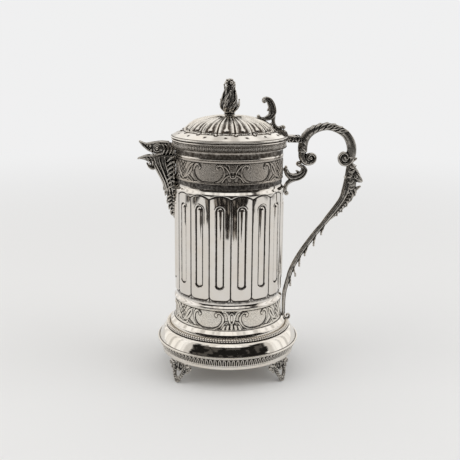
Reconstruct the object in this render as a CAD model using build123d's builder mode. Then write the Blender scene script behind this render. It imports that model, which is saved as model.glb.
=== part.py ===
from build123d import *
from math import cos, pi, radians, sin
import os

# Silver jug with a hinged lid, on four feet, in millimetres. +Z is up, the spout points to -X and
# the handle to +X. Every profile is drawn as distance from the body's axis against height.

# Heights of the parts of the body, from the table up
foot_height = 19.7
lip_height = 3.5
leaf_border_height = 8.0
torus_height = 12.3
shoulder_height = 9.5
lower_frieze_height = 20.0
flute_foot_gap = 8.0
flute_height = 97.0
arcade_height = 10.2
upper_frieze_height = 20.5
neck_gap = 1.9
rim_height = 13.3
flange_height = 6.7
dome_height = 14.1

# Radii of the body, and how far its mouldings stand out from the wall
body_radius = 49.5
wall = 1.6
floor_thickness = 1.6
lower_frieze_depth = 2.0
upper_frieze_depth = 1.1
frieze_edge = 0.4
rim_overhang = 4.4
milled_height = 5.0
milled_drop = 1.6
milled_inset = 0.65
notch_count = 190
notch_depth = 0.7
shoulder_overhang = 5.9
shelf_overhang = 9.7
plinth_overhang = 18.8
lip_overhang = 14.4
plinth_wall = 1.8
bead_radius = 1.6

# Fluted panels
panel_count = 16
panel_crown = 1.9
panel_edge = 0.2
panel_arch = 3.2
arch_post = 0.7
arch_post_height = 1.3
groove_width = 8.0
groove_depth = 0.8
groove_margin = 9.5
rod_radius = 2.8
rod_rise = 0.8

# Feet
foot_angle = 48.0
foot_top_reach = 12.6
foot_toe_reach = 18.6
foot_span = 31.0
foot_wing_height = 4.4
foot_toe_width = 6.6
foot_opening_width = 6.0
foot_opening_height = 8.5
foot_opening_sill = 3.6

# Lid
lid_gap = 0.3
lid_overhang = 4.8
lid_wall = 1.5
lobe_count = 16
lobe_foot_radius = 42.0
lobe_groove = 1.0
lobe_turn = 4.75
lobe_ball_radius = 1.25
lobe_ball_reach = 2.6
spoon_share = 0.78
spoon_depth = 0.8
rib_half_width = 0.7
rib_rise = 0.2
drop_radius = 1.6
bezel_clearance = 0.6
bezel_depth = 4.5
bezel_wall = 1.2
collar_radius = 5.2
collar_height = 3.2
bud_height = 30.3
bud_radius = 9.6

# Hinge and thumbpiece
hinge_reach = 11.0
hinge_drop = 0.7
knuckle_radius = 3.0
knuckle_length = 4.4
knuckle_gap = 0.2
pin_radius = 1.15
pin_clearance = 0.05
pin_seat = 0.02
pin_end = 0.5
leaf_gap = 0.1
saddle_drop = 0.3
saddle_inset = 1.5
saddle_clearance = 3.0
thumb_reach = 7.5
thumb_width = 6.0
thumb_rise = 35.0

# Handle
grip_reach = 19.2
grip_span = 46.3
grip_width = 8.8
arch_drop = 12.7
volute_drop = 19.0
volute_radius = 6.8
volute_width = 7.0
eye_radius = 2.4
eye_rise = 0.7
bracket_width = 6.0
bracket_bar = 4.6
stem_width = 7.0
stem_top_size = 8.6
stem_foot_size = 3.0
stem_curl_radius = 2.4
crocket_radius = 1.9
mask_width = 11.0
mask_reach = 77.8

# Spout
spout_reach = 35.8
spout_width = 17.0
spout_wall = 2.0
spout_split_drop = 15.9
pour_width = 13.0
pour_height = 21.0
pour_drop = 28.5
throat_width = 8.6
throat_height = 5.0
beak_thickness = 1.8
eyeball_radius = 1.7

# Heights and radii that follow
border_bottom = foot_height + lip_height
border_top = border_bottom + leaf_border_height
shelf_top = border_top + torus_height
lower_frieze_bottom = shelf_top + shoulder_height
lower_frieze_top = lower_frieze_bottom + lower_frieze_height
flute_bottom = lower_frieze_top + flute_foot_gap
flute_top = flute_bottom + flute_height
upper_frieze_bottom = flute_top + arcade_height
upper_frieze_top = upper_frieze_bottom + upper_frieze_height
rim_bottom = upper_frieze_top + neck_gap
rim_top = rim_bottom + rim_height
lid_bottom = rim_top + lid_gap
dome_foot = lid_bottom + flange_height
dome_top = dome_foot + dome_height
inner_radius = body_radius - wall
lower_frieze_radius = body_radius + lower_frieze_depth
upper_frieze_radius = body_radius + upper_frieze_depth
rim_radius = body_radius + rim_overhang
shoulder_radius = body_radius + shoulder_overhang
shelf_radius = body_radius + shelf_overhang
plinth_radius = body_radius + plinth_overhang
lip_radius = body_radius + lip_overhang
panel_radius = body_radius + panel_crown
lid_radius = body_radius + lid_overhang
hinge_half_width = knuckle_length * 1.5 + knuckle_gap

# The origin is midway between the tips of spout and handle, so the body's axis lies a little to -X
body_x = (spout_reach - mask_reach) / 2
side = Plane(origin=(body_x, 0, 0), x_dir=(1, 0, 0), z_dir=(0, -1, 0))
body_axis = Axis((body_x, 0, 0), (0, 0, 1))
body_place = Location((body_x, 0, 0))


def level(height):
    """The horizontal plane at a height, centred on the body's axis."""
    return Plane(origin=(body_x, 0, height))


def side_line(points):
    """A smooth line through points of the side plane."""
    with BuildLine(side) as line:
        Spline(*points)
    return line.line


def bar(points, sizes, width):
    """A tapering round bar lofted along a smooth line drawn on the side plane."""
    path = side_line(points)
    with BuildPart() as result:
        for number, size in enumerate(sizes):
            share = number / (len(sizes) - 1)
            section = Plane(origin=path @ share, x_dir=(0, 1, 0), z_dir=path % share)
            with BuildSketch(section):
                Ellipse(min(width, size * 2) / 2, size / 2)
        loft()
    return result.part


def side_point(x, z, y=0):
    """A place given from the body's axis, as a location in the part's frame."""
    return Location((body_x + x, y, z))


os.makedirs("parts", exist_ok=True)


# Body: the wall, its floor and its bands

# One panel of the fluted wall: a lobe under a low arch, with a rod lying in its groove
panel_half_angle = pi / panel_count
panel_half_width = (body_radius + panel_edge) * sin(panel_half_angle)
panel_edge_y = -(body_radius + panel_edge) * cos(panel_half_angle)
groove_bottom = flute_bottom + groove_margin
groove_top = flute_top - groove_margin
rod_axis_radius = panel_radius + rod_rise - rod_radius
with BuildPart() as panel:
    with BuildSketch(level(flute_bottom)):
        with BuildLine():
            ThreePointArc(
                (-panel_half_width, panel_edge_y),
                (0, -panel_radius),
                (panel_half_width, panel_edge_y),
            )
            Polyline(
                (panel_half_width, panel_edge_y),
                (panel_half_width, -inner_radius * cos(panel_half_angle)),
                (-panel_half_width, -inner_radius * cos(panel_half_angle)),
                (-panel_half_width, panel_edge_y),
            )
        make_face()
    extrude(amount=flute_height)
    with BuildSketch(side):
        with BuildLine():
            Line(
                (-panel_half_width, flute_bottom + panel_arch),
                (-panel_half_width, flute_top - panel_arch),
            )
            ThreePointArc(
                (-panel_half_width, flute_top - panel_arch),
                (0, flute_top),
                (panel_half_width, flute_top - panel_arch),
            )
            Line(
                (panel_half_width, flute_top - panel_arch),
                (panel_half_width, flute_bottom + panel_arch),
            )
            ThreePointArc(
                (panel_half_width, flute_bottom + panel_arch),
                (0, flute_bottom),
                (-panel_half_width, flute_bottom + panel_arch),
            )
        make_face()
    extrude(amount=panel_radius + 1, mode=Mode.INTERSECT)
    with BuildSketch(side.offset(panel_radius - groove_depth)):
        with Locations((0, (groove_bottom + groove_top) / 2)):
            SlotOverall(groove_top - groove_bottom, groove_width, rotation=90)
    extrude(amount=groove_depth * 2, mode=Mode.SUBTRACT)
    rod_plane = Plane(
        origin=(body_x, -rod_axis_radius, 0), x_dir=(1, 0, 0), z_dir=(0, -1, 0)
    )
    with BuildSketch(rod_plane):
        with BuildLine():
            rod_gap = (groove_width / 2 - rod_radius) / 2
            low = groove_bottom + rod_gap
            high = groove_top - rod_gap
            Line((0, low), (0, high))
            RadiusArc((0, high), (rod_radius, high - rod_radius), rod_radius)
            Line((rod_radius, high - rod_radius), (rod_radius, low + rod_radius))
            RadiusArc((rod_radius, low + rod_radius), (0, low), rod_radius)
        make_face()
    revolve(axis=Axis((body_x, -rod_axis_radius, 0), (0, 0, 1)))
    split(bisect_by=Plane(origin=(body_x, 0, 0), z_dir=(0, -1, 0)).offset(inner_radius + 0.2))

# The wall: a tube that swells out above the panels into an arcade, whose arches frame them
floor_level = shelf_top + plinth_wall
with BuildPart() as vessel_wall:
    with BuildSketch(side):
        with BuildLine():
            Polyline(
                (inner_radius, floor_level),
                (body_radius, floor_level),
                (body_radius, flute_top - panel_arch - arch_post_height),
                (panel_radius, flute_top - panel_arch - arch_post_height),
                (panel_radius, flute_top + panel_edge),
            )
            Spline(
                (panel_radius, flute_top + panel_edge),
                (body_radius + panel_crown * 0.45, flute_top + arcade_height * 0.35),
                (body_radius, flute_top + arcade_height * 0.6),
                tangents=[(-0.2, 1), (0, 1)],
            )
            Polyline(
                (body_radius, flute_top + arcade_height * 0.6),
                (body_radius, rim_top),
                (inner_radius, rim_top),
                (inner_radius, floor_level),
            )
        make_face()
    revolve(axis=body_axis)
    with BuildPart(mode=Mode.PRIVATE) as bay:
        with BuildSketch(side.offset(body_radius * cos(panel_half_angle))):
            with BuildLine():
                bay_low = flute_top - panel_arch * 2
                bay_half_width = panel_half_width - arch_post / 2
                Polyline(
                    (-bay_half_width, flute_top - panel_arch),
                    (-bay_half_width, bay_low),
                    (bay_half_width, bay_low),
                    (bay_half_width, flute_top - panel_arch),
                )
                ThreePointArc(
                    (bay_half_width, flute_top - panel_arch),
                    (0, flute_top + panel_edge),
                    (-bay_half_width, flute_top - panel_arch),
                )
            make_face()
        extrude(amount=panel_crown * 3)
        with BuildSketch(level(bay_low)):
            Circle(body_radius)
        extrude(amount=panel_arch * 4, mode=Mode.SUBTRACT)
    with Locations(body_place):
        with PolarLocations(0, panel_count, start_angle=180 / panel_count):
            add(bay.part.moved(Location((-body_x, 0, 0))), mode=Mode.SUBTRACT)
            add(panel.part.moved(Location((-body_x, 0, 0))))
    with BuildSketch(Plane(origin=(body_x, 0, rim_top - pour_drop), z_dir=(-1, 0, 0))):
        SlotOverall(pour_height, pour_width, rotation=90)
    extrude(amount=panel_radius + 1, mode=Mode.SUBTRACT)
vessel_wall.part.label = "vessel_wall"
export_step(vessel_wall.part, "parts/vessel_wall.step")

# The floor closes the tube at its lower end
with BuildPart() as vessel_floor:
    with BuildSketch(level(floor_level)):
        Circle(inner_radius)
    extrude(amount=floor_thickness)
vessel_floor.part.label = "vessel_floor"
export_step(vessel_floor.part, "parts/vessel_floor.step")


def band(bottom, top, depth, pierced):
    """A rolled band round the wall, with a raised edge above and below its field."""
    with BuildPart() as result:
        with BuildSketch(side):
            outer = body_radius + depth
            with BuildLine():
                Polyline(
                    (body_radius, bottom),
                    (outer, bottom),
                    (outer, bottom + frieze_edge * 2),
                    (outer - frieze_edge, bottom + frieze_edge * 3),
                    (outer - frieze_edge, top - frieze_edge * 3),
                    (outer, top - frieze_edge * 2),
                    (outer, top),
                    (body_radius, top),
                    close=True,
                )
            make_face()
        revolve(axis=body_axis)
        if pierced:
            with BuildSketch(Plane(origin=(body_x, 0, rim_top - pour_drop), z_dir=(-1, 0, 0))):
                SlotOverall(pour_height, pour_width, rotation=90)
            extrude(amount=body_radius + depth + 1, mode=Mode.SUBTRACT)
    return result.part


lower_frieze = band(lower_frieze_bottom, lower_frieze_top, lower_frieze_depth, False)
lower_frieze.label = "lower_frieze"
export_step(lower_frieze, "parts/lower_frieze.step")

upper_frieze = band(upper_frieze_bottom, upper_frieze_top, upper_frieze_depth, True)
upper_frieze.label = "upper_frieze"
export_step(upper_frieze, "parts/upper_frieze.step")

# The rim: a cove above the frieze, then a band of close upright notches under a rounded lip
milled_top = rim_top - milled_drop
milled_bottom = milled_top - milled_height
milled_radius = rim_radius - milled_inset
with BuildPart() as rim_moulding:
    with BuildSketch(side):
        with BuildLine():
            Polyline(
                (body_radius, rim_top),
                (body_radius, rim_bottom),
                (body_radius + frieze_edge * 2, rim_bottom),
            )
            Spline(
                (body_radius + frieze_edge * 2, rim_bottom),
                (body_radius + frieze_edge, rim_bottom + rim_height * 0.2),
                (rim_radius - rim_overhang * 0.4, milled_bottom - frieze_edge * 3),
            )
            Polyline(
                (rim_radius - rim_overhang * 0.4, milled_bottom - frieze_edge * 3),
                (milled_radius, milled_bottom - frieze_edge),
                (milled_radius, milled_bottom),
                (milled_radius - notch_depth * 2, milled_bottom),
                (milled_radius - notch_depth * 2, milled_top),
                (milled_radius, milled_top),
                (rim_radius, rim_top - frieze_edge * 3),
            )
            ThreePointArc(
                (rim_radius, rim_top - frieze_edge * 3),
                (rim_radius - frieze_edge * 0.4, rim_top - frieze_edge),
                (rim_radius - frieze_edge * 1.5, rim_top),
            )
            Line((rim_radius - frieze_edge * 1.5, rim_top), (body_radius, rim_top))
        make_face()
    revolve(axis=body_axis)
    with BuildSketch(level(milled_bottom)):
        with BuildLine():
            notch_turn = pi / notch_count
            Polyline(
                *[
                    (
                        (milled_radius - number % 2 * notch_depth) * cos(number * notch_turn),
                        (milled_radius - number % 2 * notch_depth) * sin(number * notch_turn),
                    )
                    for number in range(notch_count * 2)
                ],
                close=True,
            )
        make_face()
        Circle(milled_radius - notch_depth * 2, mode=Mode.SUBTRACT)
    extrude(amount=milled_height)
rim_moulding.part.label = "rim_moulding"
export_step(rim_moulding.part, "parts/rim_moulding.step")

# The plinth: cove, shelf for the beaded wire, torus and a narrow step, spun as one open shell
torus_foot = border_top + torus_height * 0.34
torus_radius = plinth_radius - plinth_wall * 1.6
wire_radius = shelf_radius - bead_radius
with BuildPart() as plinth_moulding:
    with BuildSketch(side):
        with BuildLine():
            Line(
                (body_radius, lower_frieze_bottom),
                (lower_frieze_radius + frieze_edge, lower_frieze_bottom),
            )
            Spline(
                (lower_frieze_radius + frieze_edge, lower_frieze_bottom),
                (shoulder_radius - shoulder_overhang * 0.4, shelf_top + shoulder_height * 0.66),
                (shoulder_radius, shelf_top + bead_radius * 2),
            )
            Polyline(
                (shoulder_radius, shelf_top + bead_radius * 2),
                (wire_radius - bead_radius, shelf_top + bead_radius * 2),
                (wire_radius - bead_radius, shelf_top),
                (shelf_radius, shelf_top),
            )
            ThreePointArc(
                (shelf_radius, shelf_top),
                (torus_radius - plinth_wall, shelf_top - torus_height * 0.22),
                (torus_radius, torus_foot),
            )
            Polyline(
                (torus_radius, torus_foot),
                (torus_radius, torus_foot - frieze_edge * 2),
                (plinth_radius - frieze_edge * 3, torus_foot - frieze_edge * 3),
            )
            ThreePointArc(
                (plinth_radius - frieze_edge * 3, torus_foot - frieze_edge * 3),
                (plinth_radius, border_top + plinth_wall),
                (plinth_radius - frieze_edge, border_top),
            )
            Polyline(
                (plinth_radius - frieze_edge, border_top),
                (plinth_radius - plinth_wall * 1.4, border_top),
                (torus_radius - plinth_wall, torus_foot - plinth_wall),
            )
            ThreePointArc(
                (torus_radius - plinth_wall, torus_foot - plinth_wall),
                (torus_radius - plinth_wall * 2.3, shelf_top - torus_height * 0.32),
                (shelf_radius - plinth_wall, shelf_top - plinth_wall),
            )
            Polyline(
                (shelf_radius - plinth_wall, shelf_top - plinth_wall),
                (wire_radius - bead_radius - plinth_wall, shelf_top - plinth_wall),
                (wire_radius - bead_radius - plinth_wall, shelf_top + plinth_wall),
                (body_radius, shelf_top + plinth_wall * 2),
                (body_radius, lower_frieze_bottom),
            )
        make_face()
    revolve(axis=body_axis)
plinth_moulding.part.label = "plinth_moulding"
export_step(plinth_moulding.part, "parts/plinth_moulding.step")

# Beaded wire, lying in the plinth's shelf
with BuildPart() as bead_wire:
    with BuildSketch(side):
        with Locations((wire_radius, shelf_top + bead_radius)):
            Circle(bead_radius)
    revolve(axis=body_axis)
bead_wire.part.label = "bead_wire"
export_step(bead_wire.part, "parts/bead_wire.step")

# Leaf border: it leans inwards below the plinth and ends in the rounded lip the feet carry
lip_inner = foot_top_reach + body_radius - plinth_wall * 1.6
with BuildPart() as leaf_border:
    with BuildSketch(side):
        with BuildLine():
            Polyline(
                (plinth_radius - plinth_wall * 1.4, border_top),
                (plinth_radius - frieze_edge * 2, border_top),
                (lip_radius - frieze_edge, border_bottom),
                (lip_radius, border_bottom - frieze_edge),
            )
            ThreePointArc(
                (lip_radius, border_bottom - frieze_edge),
                (lip_radius - frieze_edge, foot_height + lip_height * 0.3),
                (foot_top_reach + body_radius, foot_height),
            )
            Polyline(
                (foot_top_reach + body_radius, foot_height),
                (lip_inner, foot_height),
                (lip_inner, border_bottom - plinth_wall),
                (plinth_radius - plinth_wall * 1.4, border_top),
            )
        make_face()
    revolve(axis=body_axis)
leaf_border.part.label = "leaf_border"
export_step(leaf_border.part, "parts/leaf_border.step")


# Feet: openwork castings under the lip, wide wings above and a rounded toe below


def foot(angle, name):
    """One cast foot, cut to its outline from the front and to its bent leg from the side."""
    outward = (sin(radians(angle)), -cos(radians(angle)), 0)
    across = (cos(radians(angle)), sin(radians(angle)), 0)
    face = Plane(origin=(body_x, 0, 0), x_dir=across, z_dir=outward)
    leg = Plane(origin=(body_x, 0, 0), x_dir=outward, z_dir=(-across[0], -across[1], 0))
    top_radius = foot_top_reach + body_radius
    toe_radius = foot_toe_reach + body_radius
    wing = foot_span / 2
    toe = foot_toe_width / 2
    waist = foot_height - foot_wing_height
    with BuildPart() as result:
        with BuildSketch(leg):
            with BuildLine():
                Line((lip_inner, foot_height), (top_radius, foot_height))
                Spline(
                    (top_radius, foot_height),
                    (top_radius + 1.6, waist),
                    (top_radius + 0.8, foot_height * 0.45),
                    (toe_radius - 2, foot_height * 0.16),
                    (toe_radius, 0.9),
                )
                Polyline(
                    (toe_radius, 0.9),
                    (toe_radius - 0.9, 0),
                    (toe_radius - foot_toe_width, 0),
                    (toe_radius - foot_toe_width - 0.6, 0.9),
                )
                Spline(
                    (toe_radius - foot_toe_width - 0.6, 0.9),
                    (lip_inner + 1.4, foot_height * 0.45),
                    (lip_inner, foot_height),
                )
            make_face()
        extrude(amount=wing, both=True)
        with BuildSketch(face):
            with BuildLine():
                Line((0, foot_height), (wing - 2, foot_height))
                Spline(
                    (wing - 2, foot_height),
                    (wing, foot_height - foot_wing_height / 2),
                    (wing * 0.72, waist),
                    (wing * 0.6, foot_height * 0.6),
                    (toe * 1.5, foot_height * 0.28),
                    (toe, 1.5),
                )
                Polyline((toe, 1.5), (toe, 0), (0, 0))
                mirror(about=Plane.YZ)
            make_face()
            with Locations((0, foot_opening_sill + foot_opening_height / 2)):
                Ellipse(foot_opening_width / 2, foot_opening_height / 2, mode=Mode.SUBTRACT)
        extrude(amount=toe_radius + 1, mode=Mode.INTERSECT)
    result.part.label = name
    export_step(result.part, f"parts/{name}.step")


foot(-foot_angle, "foot_front_left")
foot(foot_angle, "foot_front_right")
foot(foot_angle - 180, "foot_back_left")
foot(180 - foot_angle, "foot_back_right")


# Lid: gadrooned dome, bezel, hinge leaf, thumbpiece and finial

dome_crown = collar_radius - 1
dome_points = [
    (lobe_foot_radius + 1, dome_foot),
    (lobe_foot_radius - 2.2, dome_foot + dome_height * 0.27),
    (lobe_foot_radius * 0.72, dome_foot + dome_height * 0.7),
    (lobe_foot_radius * 0.36, dome_foot + dome_height * 0.95),
    (dome_crown, dome_top),
]
dome_line = side_line(dome_points)


def along_dome(sections, sunk):
    """A long solid lofted up the dome from ellipses: share of the way, half width and half height."""
    with BuildPart() as result:
        for share, half_width, half_height in sections:
            down = (dome_line % share).cross(Vector(0, 1, 0))
            section = Plane(
                origin=dome_line @ share + down * sunk,
                x_dir=(0, 1, 0),
                z_dir=dome_line % share,
            )
            with BuildSketch(section):
                Ellipse(half_width, half_height)
        loft()
    return result.part.moved(Location((-body_x, 0, 0)))


with BuildPart() as lid_shell:
    with BuildSketch(side):
        with BuildLine():
            outline_start = (lid_radius - frieze_edge * 2, lid_bottom)
            ThreePointArc(
                outline_start,
                (lid_radius, lid_bottom + flange_height * 0.17),
                (lid_radius - frieze_edge * 2, lid_bottom + flange_height * 0.34),
            )
            Spline(
                (lid_radius - frieze_edge * 2, lid_bottom + flange_height * 0.34),
                (lid_radius - lid_overhang, lid_bottom + flange_height * 0.62),
                (lobe_foot_radius + 1, dome_foot),
            )
            Spline(*dome_points)
            Polyline(
                (dome_crown, dome_top),
                (0, dome_top),
                (0, dome_top - lid_wall),
                (dome_crown, dome_top - lid_wall),
            )
            Spline(
                (dome_crown, dome_top - lid_wall),
                (lobe_foot_radius * 0.36, dome_foot + dome_height * 0.95 - lid_wall),
                (lobe_foot_radius * 0.7, dome_foot + dome_height * 0.7 - lid_wall),
                (lobe_foot_radius - 4, dome_foot + dome_height * 0.25 - lid_wall),
                (lobe_foot_radius - 1, dome_foot - lid_wall),
            )
            bezel_outer = inner_radius - bezel_clearance
            bezel_inner = bezel_outer - bezel_wall
            Polyline(
                (lobe_foot_radius - 1, dome_foot - lid_wall),
                (bezel_inner, lid_bottom + lid_wall),
                (bezel_inner, lid_bottom),
                outline_start,
            )
        make_face()
    revolve(axis=body_axis)
    with BuildPart(mode=Mode.PRIVATE) as furrow:
        with BuildLine(side) as meridian:
            Spline(
                (lobe_foot_radius + 1.6, dome_foot),
                (lobe_foot_radius - 2.0, dome_foot + dome_height * 0.29),
                (lobe_foot_radius * 0.72, dome_foot + dome_height * 0.74),
                (lobe_foot_radius * 0.36, dome_foot + dome_height * 1.02),
            )
        with BuildSketch(Plane(origin=meridian.line @ 0, z_dir=meridian.line % 0)):
            Circle(lobe_groove)
        sweep(path=meridian.line)
    spoon_half = lobe_foot_radius * sin(pi / lobe_count) * spoon_share
    spoon = along_dome(
        [
            (0.06, spoon_half * 0.35, spoon_depth * 0.4),
            (0.11, spoon_half * 0.75, spoon_depth * 0.85),
            (0.2, spoon_half * 0.92, spoon_depth),
            (0.4, spoon_half * 0.72, spoon_depth),
            (0.65, spoon_half * 0.43, spoon_depth * 0.8),
            (0.86, spoon_half * 0.2, spoon_depth * 0.5),
        ],
        0,
    )
    rib = along_dome(
        [
            (0.16, drop_radius * 0.35, spoon_depth * 0.6),
            (0.22, drop_radius * 0.9, spoon_depth),
            (0.28, drop_radius, spoon_depth),
            (0.38, rib_half_width * 1.3, spoon_depth),
            (0.6, rib_half_width, spoon_depth * 0.85),
            (0.86, rib_half_width * 0.6, spoon_depth * 0.6),
        ],
        spoon_depth - rib_rise,
    )
    first_furrow = lobe_turn - 90
    with Locations(body_place):
        with PolarLocations(0, lobe_count, start_angle=first_furrow):
            add(furrow.part.moved(Location((-body_x, 0, 0))), mode=Mode.SUBTRACT)
        with PolarLocations(0, lobe_count, start_angle=first_furrow + 180 / lobe_count):
            add(spoon, mode=Mode.SUBTRACT)
            add(rib)
    ball_reach = lobe_foot_radius + lobe_ball_reach
    ball_turns = [radians(first_furrow + 360 / lobe_count * number) for number in range(lobe_count)]
    with Locations(
        *[
            (body_x + ball_reach * cos(turn), ball_reach * sin(turn), dome_foot)
            for turn in ball_turns
            if cos(turn) < 0 or abs(ball_reach * sin(turn)) > hinge_half_width + lobe_ball_radius
        ]
    ):
        Sphere(lobe_ball_radius)
lid_shell.part.label = "lid_shell"
export_step(lid_shell.part, "parts/lid_shell.step")

# Bezel ring under the lid
with BuildPart() as lid_bezel:
    with BuildSketch(level(lid_bottom)):
        Circle(bezel_outer)
        Circle(bezel_inner, mode=Mode.SUBTRACT)
    extrude(amount=-bezel_depth - lid_gap)
lid_bezel.part.label = "lid_bezel"
export_step(lid_bezel.part, "parts/lid_bezel.step")

# Collar and bud of the finial
with BuildPart() as finial_collar:
    with BuildSketch(side):
        with BuildLine():
            Polyline(
                (0, dome_top + collar_height),
                (0, dome_top),
                (dome_crown, dome_top),
                (collar_radius, dome_top + collar_height * 0.2),
                (collar_radius * 0.78, dome_top + collar_height * 0.45),
            )
            ThreePointArc(
                (collar_radius * 0.78, dome_top + collar_height * 0.45),
                (collar_radius * 0.93, dome_top + collar_height * 0.72),
                (collar_radius * 0.78, dome_top + collar_height),
            )
            Line((collar_radius * 0.78, dome_top + collar_height), (0, dome_top + collar_height))
        make_face()
    revolve(axis=body_axis)
finial_collar.part.label = "finial_collar"
export_step(finial_collar.part, "parts/finial_collar.step")

bud_bottom = dome_top + collar_height
with BuildPart() as finial_bud:
    with BuildSketch(side):
        with BuildLine():
            Line((0, bud_bottom), (collar_radius * 0.8, bud_bottom))
            Spline(
                (collar_radius * 0.8, bud_bottom),
                (bud_radius * 0.86, bud_bottom + bud_height * 0.11),
                (bud_radius, bud_bottom + bud_height * 0.26),
                (bud_radius * 0.86, bud_bottom + bud_height * 0.45),
                (bud_radius * 0.6, bud_bottom + bud_height * 0.62),
                (bud_radius * 0.56, bud_bottom + bud_height * 0.75),
                (bud_radius * 0.64, bud_bottom + bud_height * 0.86),
                (bud_radius * 0.4, bud_bottom + bud_height),
            )
            Polyline(
                (bud_radius * 0.4, bud_bottom + bud_height),
                (0, bud_bottom + bud_height),
                (0, bud_bottom),
            )
        make_face()
    revolve(axis=body_axis)
finial_bud.part.label = "finial_bud"
export_step(finial_bud.part, "parts/finial_bud.step")


# Handle: an arched scroll ending in two volutes, cast in one piece

grip_left = body_radius + grip_reach
grip_right = grip_left + grip_span
arch_level = rim_top - arch_drop
arch_radius = grip_span / 2
arch_middle = grip_left + arch_radius
volute_level = rim_top - volute_drop
left_eye = grip_left + volute_radius + 1.7
right_eye = grip_right - volute_radius + 1.1
with BuildPart() as handle_grip:
    arch = bar(
        [
            (left_eye + 1.5, volute_level - 4.4),
            (grip_left + 3.2, volute_level - 2.6),
            (grip_left + 0.2, volute_level + 2.4),
            (grip_left, arch_level + 2),
            (arch_middle - arch_radius * 0.86, arch_level + arch_radius * 0.54),
            (arch_middle - arch_radius * 0.5, arch_level + arch_radius * 0.89),
            (arch_middle, arch_level + arch_radius),
            (arch_middle + arch_radius * 0.5, arch_level + arch_radius * 0.86),
            (arch_middle + arch_radius * 0.88, arch_level + arch_radius * 0.48),
            (grip_right, arch_level + 1),
            (grip_right - 0.9, volute_level + 0.8),
            (right_eye + 1.2, volute_level - 3.7),
            (right_eye - 2.6, volute_level - 3.6),
        ],
        [4.2, 6.2, 7.8, 8.2, 8.2, 7.8, 7.2, 7.4, 8.2, 8.6, 7.8, 5.2, 3.2],
        grip_width,
    )
    add(arch)
    for eye in (left_eye, right_eye):
        with BuildSketch(side):
            with Locations((eye, volute_level)):
                Circle(volute_radius * 0.7)
        extrude(amount=volute_width / 2, both=True)
        with BuildSketch(side):
            with Locations((eye, volute_level)):
                Circle(eye_radius)
        extrude(amount=volute_width / 2 + eye_rise, both=True)
handle_grip.part.label = "handle_grip"
export_step(handle_grip.part, "parts/handle_grip.step")

# C-scroll that carries the grip on the body, with a lower leg and two soldered pads
pad_high = upper_frieze_bottom + upper_frieze_height * 0.3
pad_low = flute_top - panel_arch * 2.1
bracket_left = body_radius + 4.9
with BuildPart() as handle_bracket:
    scroll = bar(
        [
            (grip_left - 2.8, volute_level - 7.4),
            (grip_left + 0.8, volute_level - 7.6),
            (grip_left + 2.9, volute_level - 10.6),
            (grip_left + 1.8, volute_level - 14.6),
            (grip_left - 2, volute_level - 17.2),
            (grip_left - 6.4, volute_level - 18.5),
            (bracket_left + 3.8, volute_level - 17.6),
            (bracket_left + 0.7, volute_level - 14),
            (bracket_left - 0.7, pad_high),
        ],
        [3.0, 3.8, 4.4, bracket_bar, bracket_bar, 4.4, 3.8, 3.2, 2.8],
        bracket_width,
    )
    add(scroll)
    leg = bar(
        [
            (grip_left - 4, volute_level - 18.4),
            (bracket_left + 4.4, volute_level - 21.6),
            (bracket_left + 0.9, volute_level - 25.6),
            (bracket_left, pad_low),
        ],
        [3.0, 3.4, 3.2, 2.8],
        bracket_width,
    )
    add(leg)
    with Locations(side_point(grip_left - 3.4, volute_level - 6)):
        Sphere(2.8)
    with Locations(side_point(bracket_left + 0.2, pad_low)):
        Sphere(2.5)
    with Locations(Plane(origin=(body_x + bracket_left, 0, pad_high), z_dir=(-1, 0, 0))):
        Cylinder(1.5, 6, align=(Align.CENTER, Align.CENTER, Align.MIN))
    with Locations(Plane(origin=(body_x + bracket_left, 0, pad_low), z_dir=(-1, 0, 0))):
        Cylinder(1.7, 6, align=(Align.CENTER, Align.CENTER, Align.MIN))
    add(handle_grip.part, mode=Mode.SUBTRACT)
    add(upper_frieze, mode=Mode.SUBTRACT)
    add(vessel_wall.part, mode=Mode.SUBTRACT)
handle_bracket.part.label = "handle_bracket"
export_step(handle_bracket.part, "parts/handle_bracket.step")

# Stem: from below the right volute in a long curve to the plinth's shoulder, leaves on its back
stem_top = volute_level - 6
stem_rise = stem_top - lower_frieze_bottom
stem_low = lower_frieze_radius + stem_foot_size / 2 + 1.3
stem_run = right_eye + 2.4 - stem_low
stem_curl_x = shoulder_radius + stem_curl_radius * 1.2
stem_curl_z = shelf_top + bead_radius * 2 + stem_curl_radius + lid_gap
stem_shape = [
    (1.0, 1.0),
    (1.02, 0.93),
    (1.015, 0.88),
    (0.99, 0.83),
    (0.945, 0.779),
    (0.875, 0.731),
    (0.715, 0.648),
    (0.545, 0.563),
    (0.38, 0.474),
    (0.23, 0.382),
    (0.11, 0.286),
    (0.035, 0.192),
    (0.0, 0.096),
    (0.0, 0.02),
]
stem_points = [
    (stem_low + stem_run * run, lower_frieze_bottom + stem_rise * rise)
    for run, rise in stem_shape
] + [(stem_curl_x, stem_curl_z)]
crocket_shares = [0.52, 0.585, 0.65, 0.715, 0.78, 0.845]
stem_path = side_line(stem_points)
crocket_reach = stem_foot_size / 2 + crocket_radius * 0.7
with BuildPart() as handle_stem:
    stem = bar(
        stem_points,
        [
            stem_top_size,
            stem_top_size,
            stem_top_size * 0.86,
            5.6,
            5.0,
            4.9,
            4.8,
            4.6,
            4.4,
            4.1,
            3.7,
            3.2,
            stem_foot_size,
            stem_foot_size,
        ],
        stem_width,
    )
    add(stem)
    with Locations(side_point(stem_curl_x, stem_curl_z)):
        Sphere(stem_curl_radius)
    with Locations(
        *[
            stem_path @ share + (stem_path % share).cross(Vector(0, 1, 0)) * crocket_reach
            for share in crocket_shares
        ]
    ):
        Sphere(crocket_radius)
    add(handle_grip.part, mode=Mode.SUBTRACT)
    add(plinth_moulding.part, mode=Mode.SUBTRACT)
    add(lower_frieze, mode=Mode.SUBTRACT)
handle_stem.part.label = "handle_stem"
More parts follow.
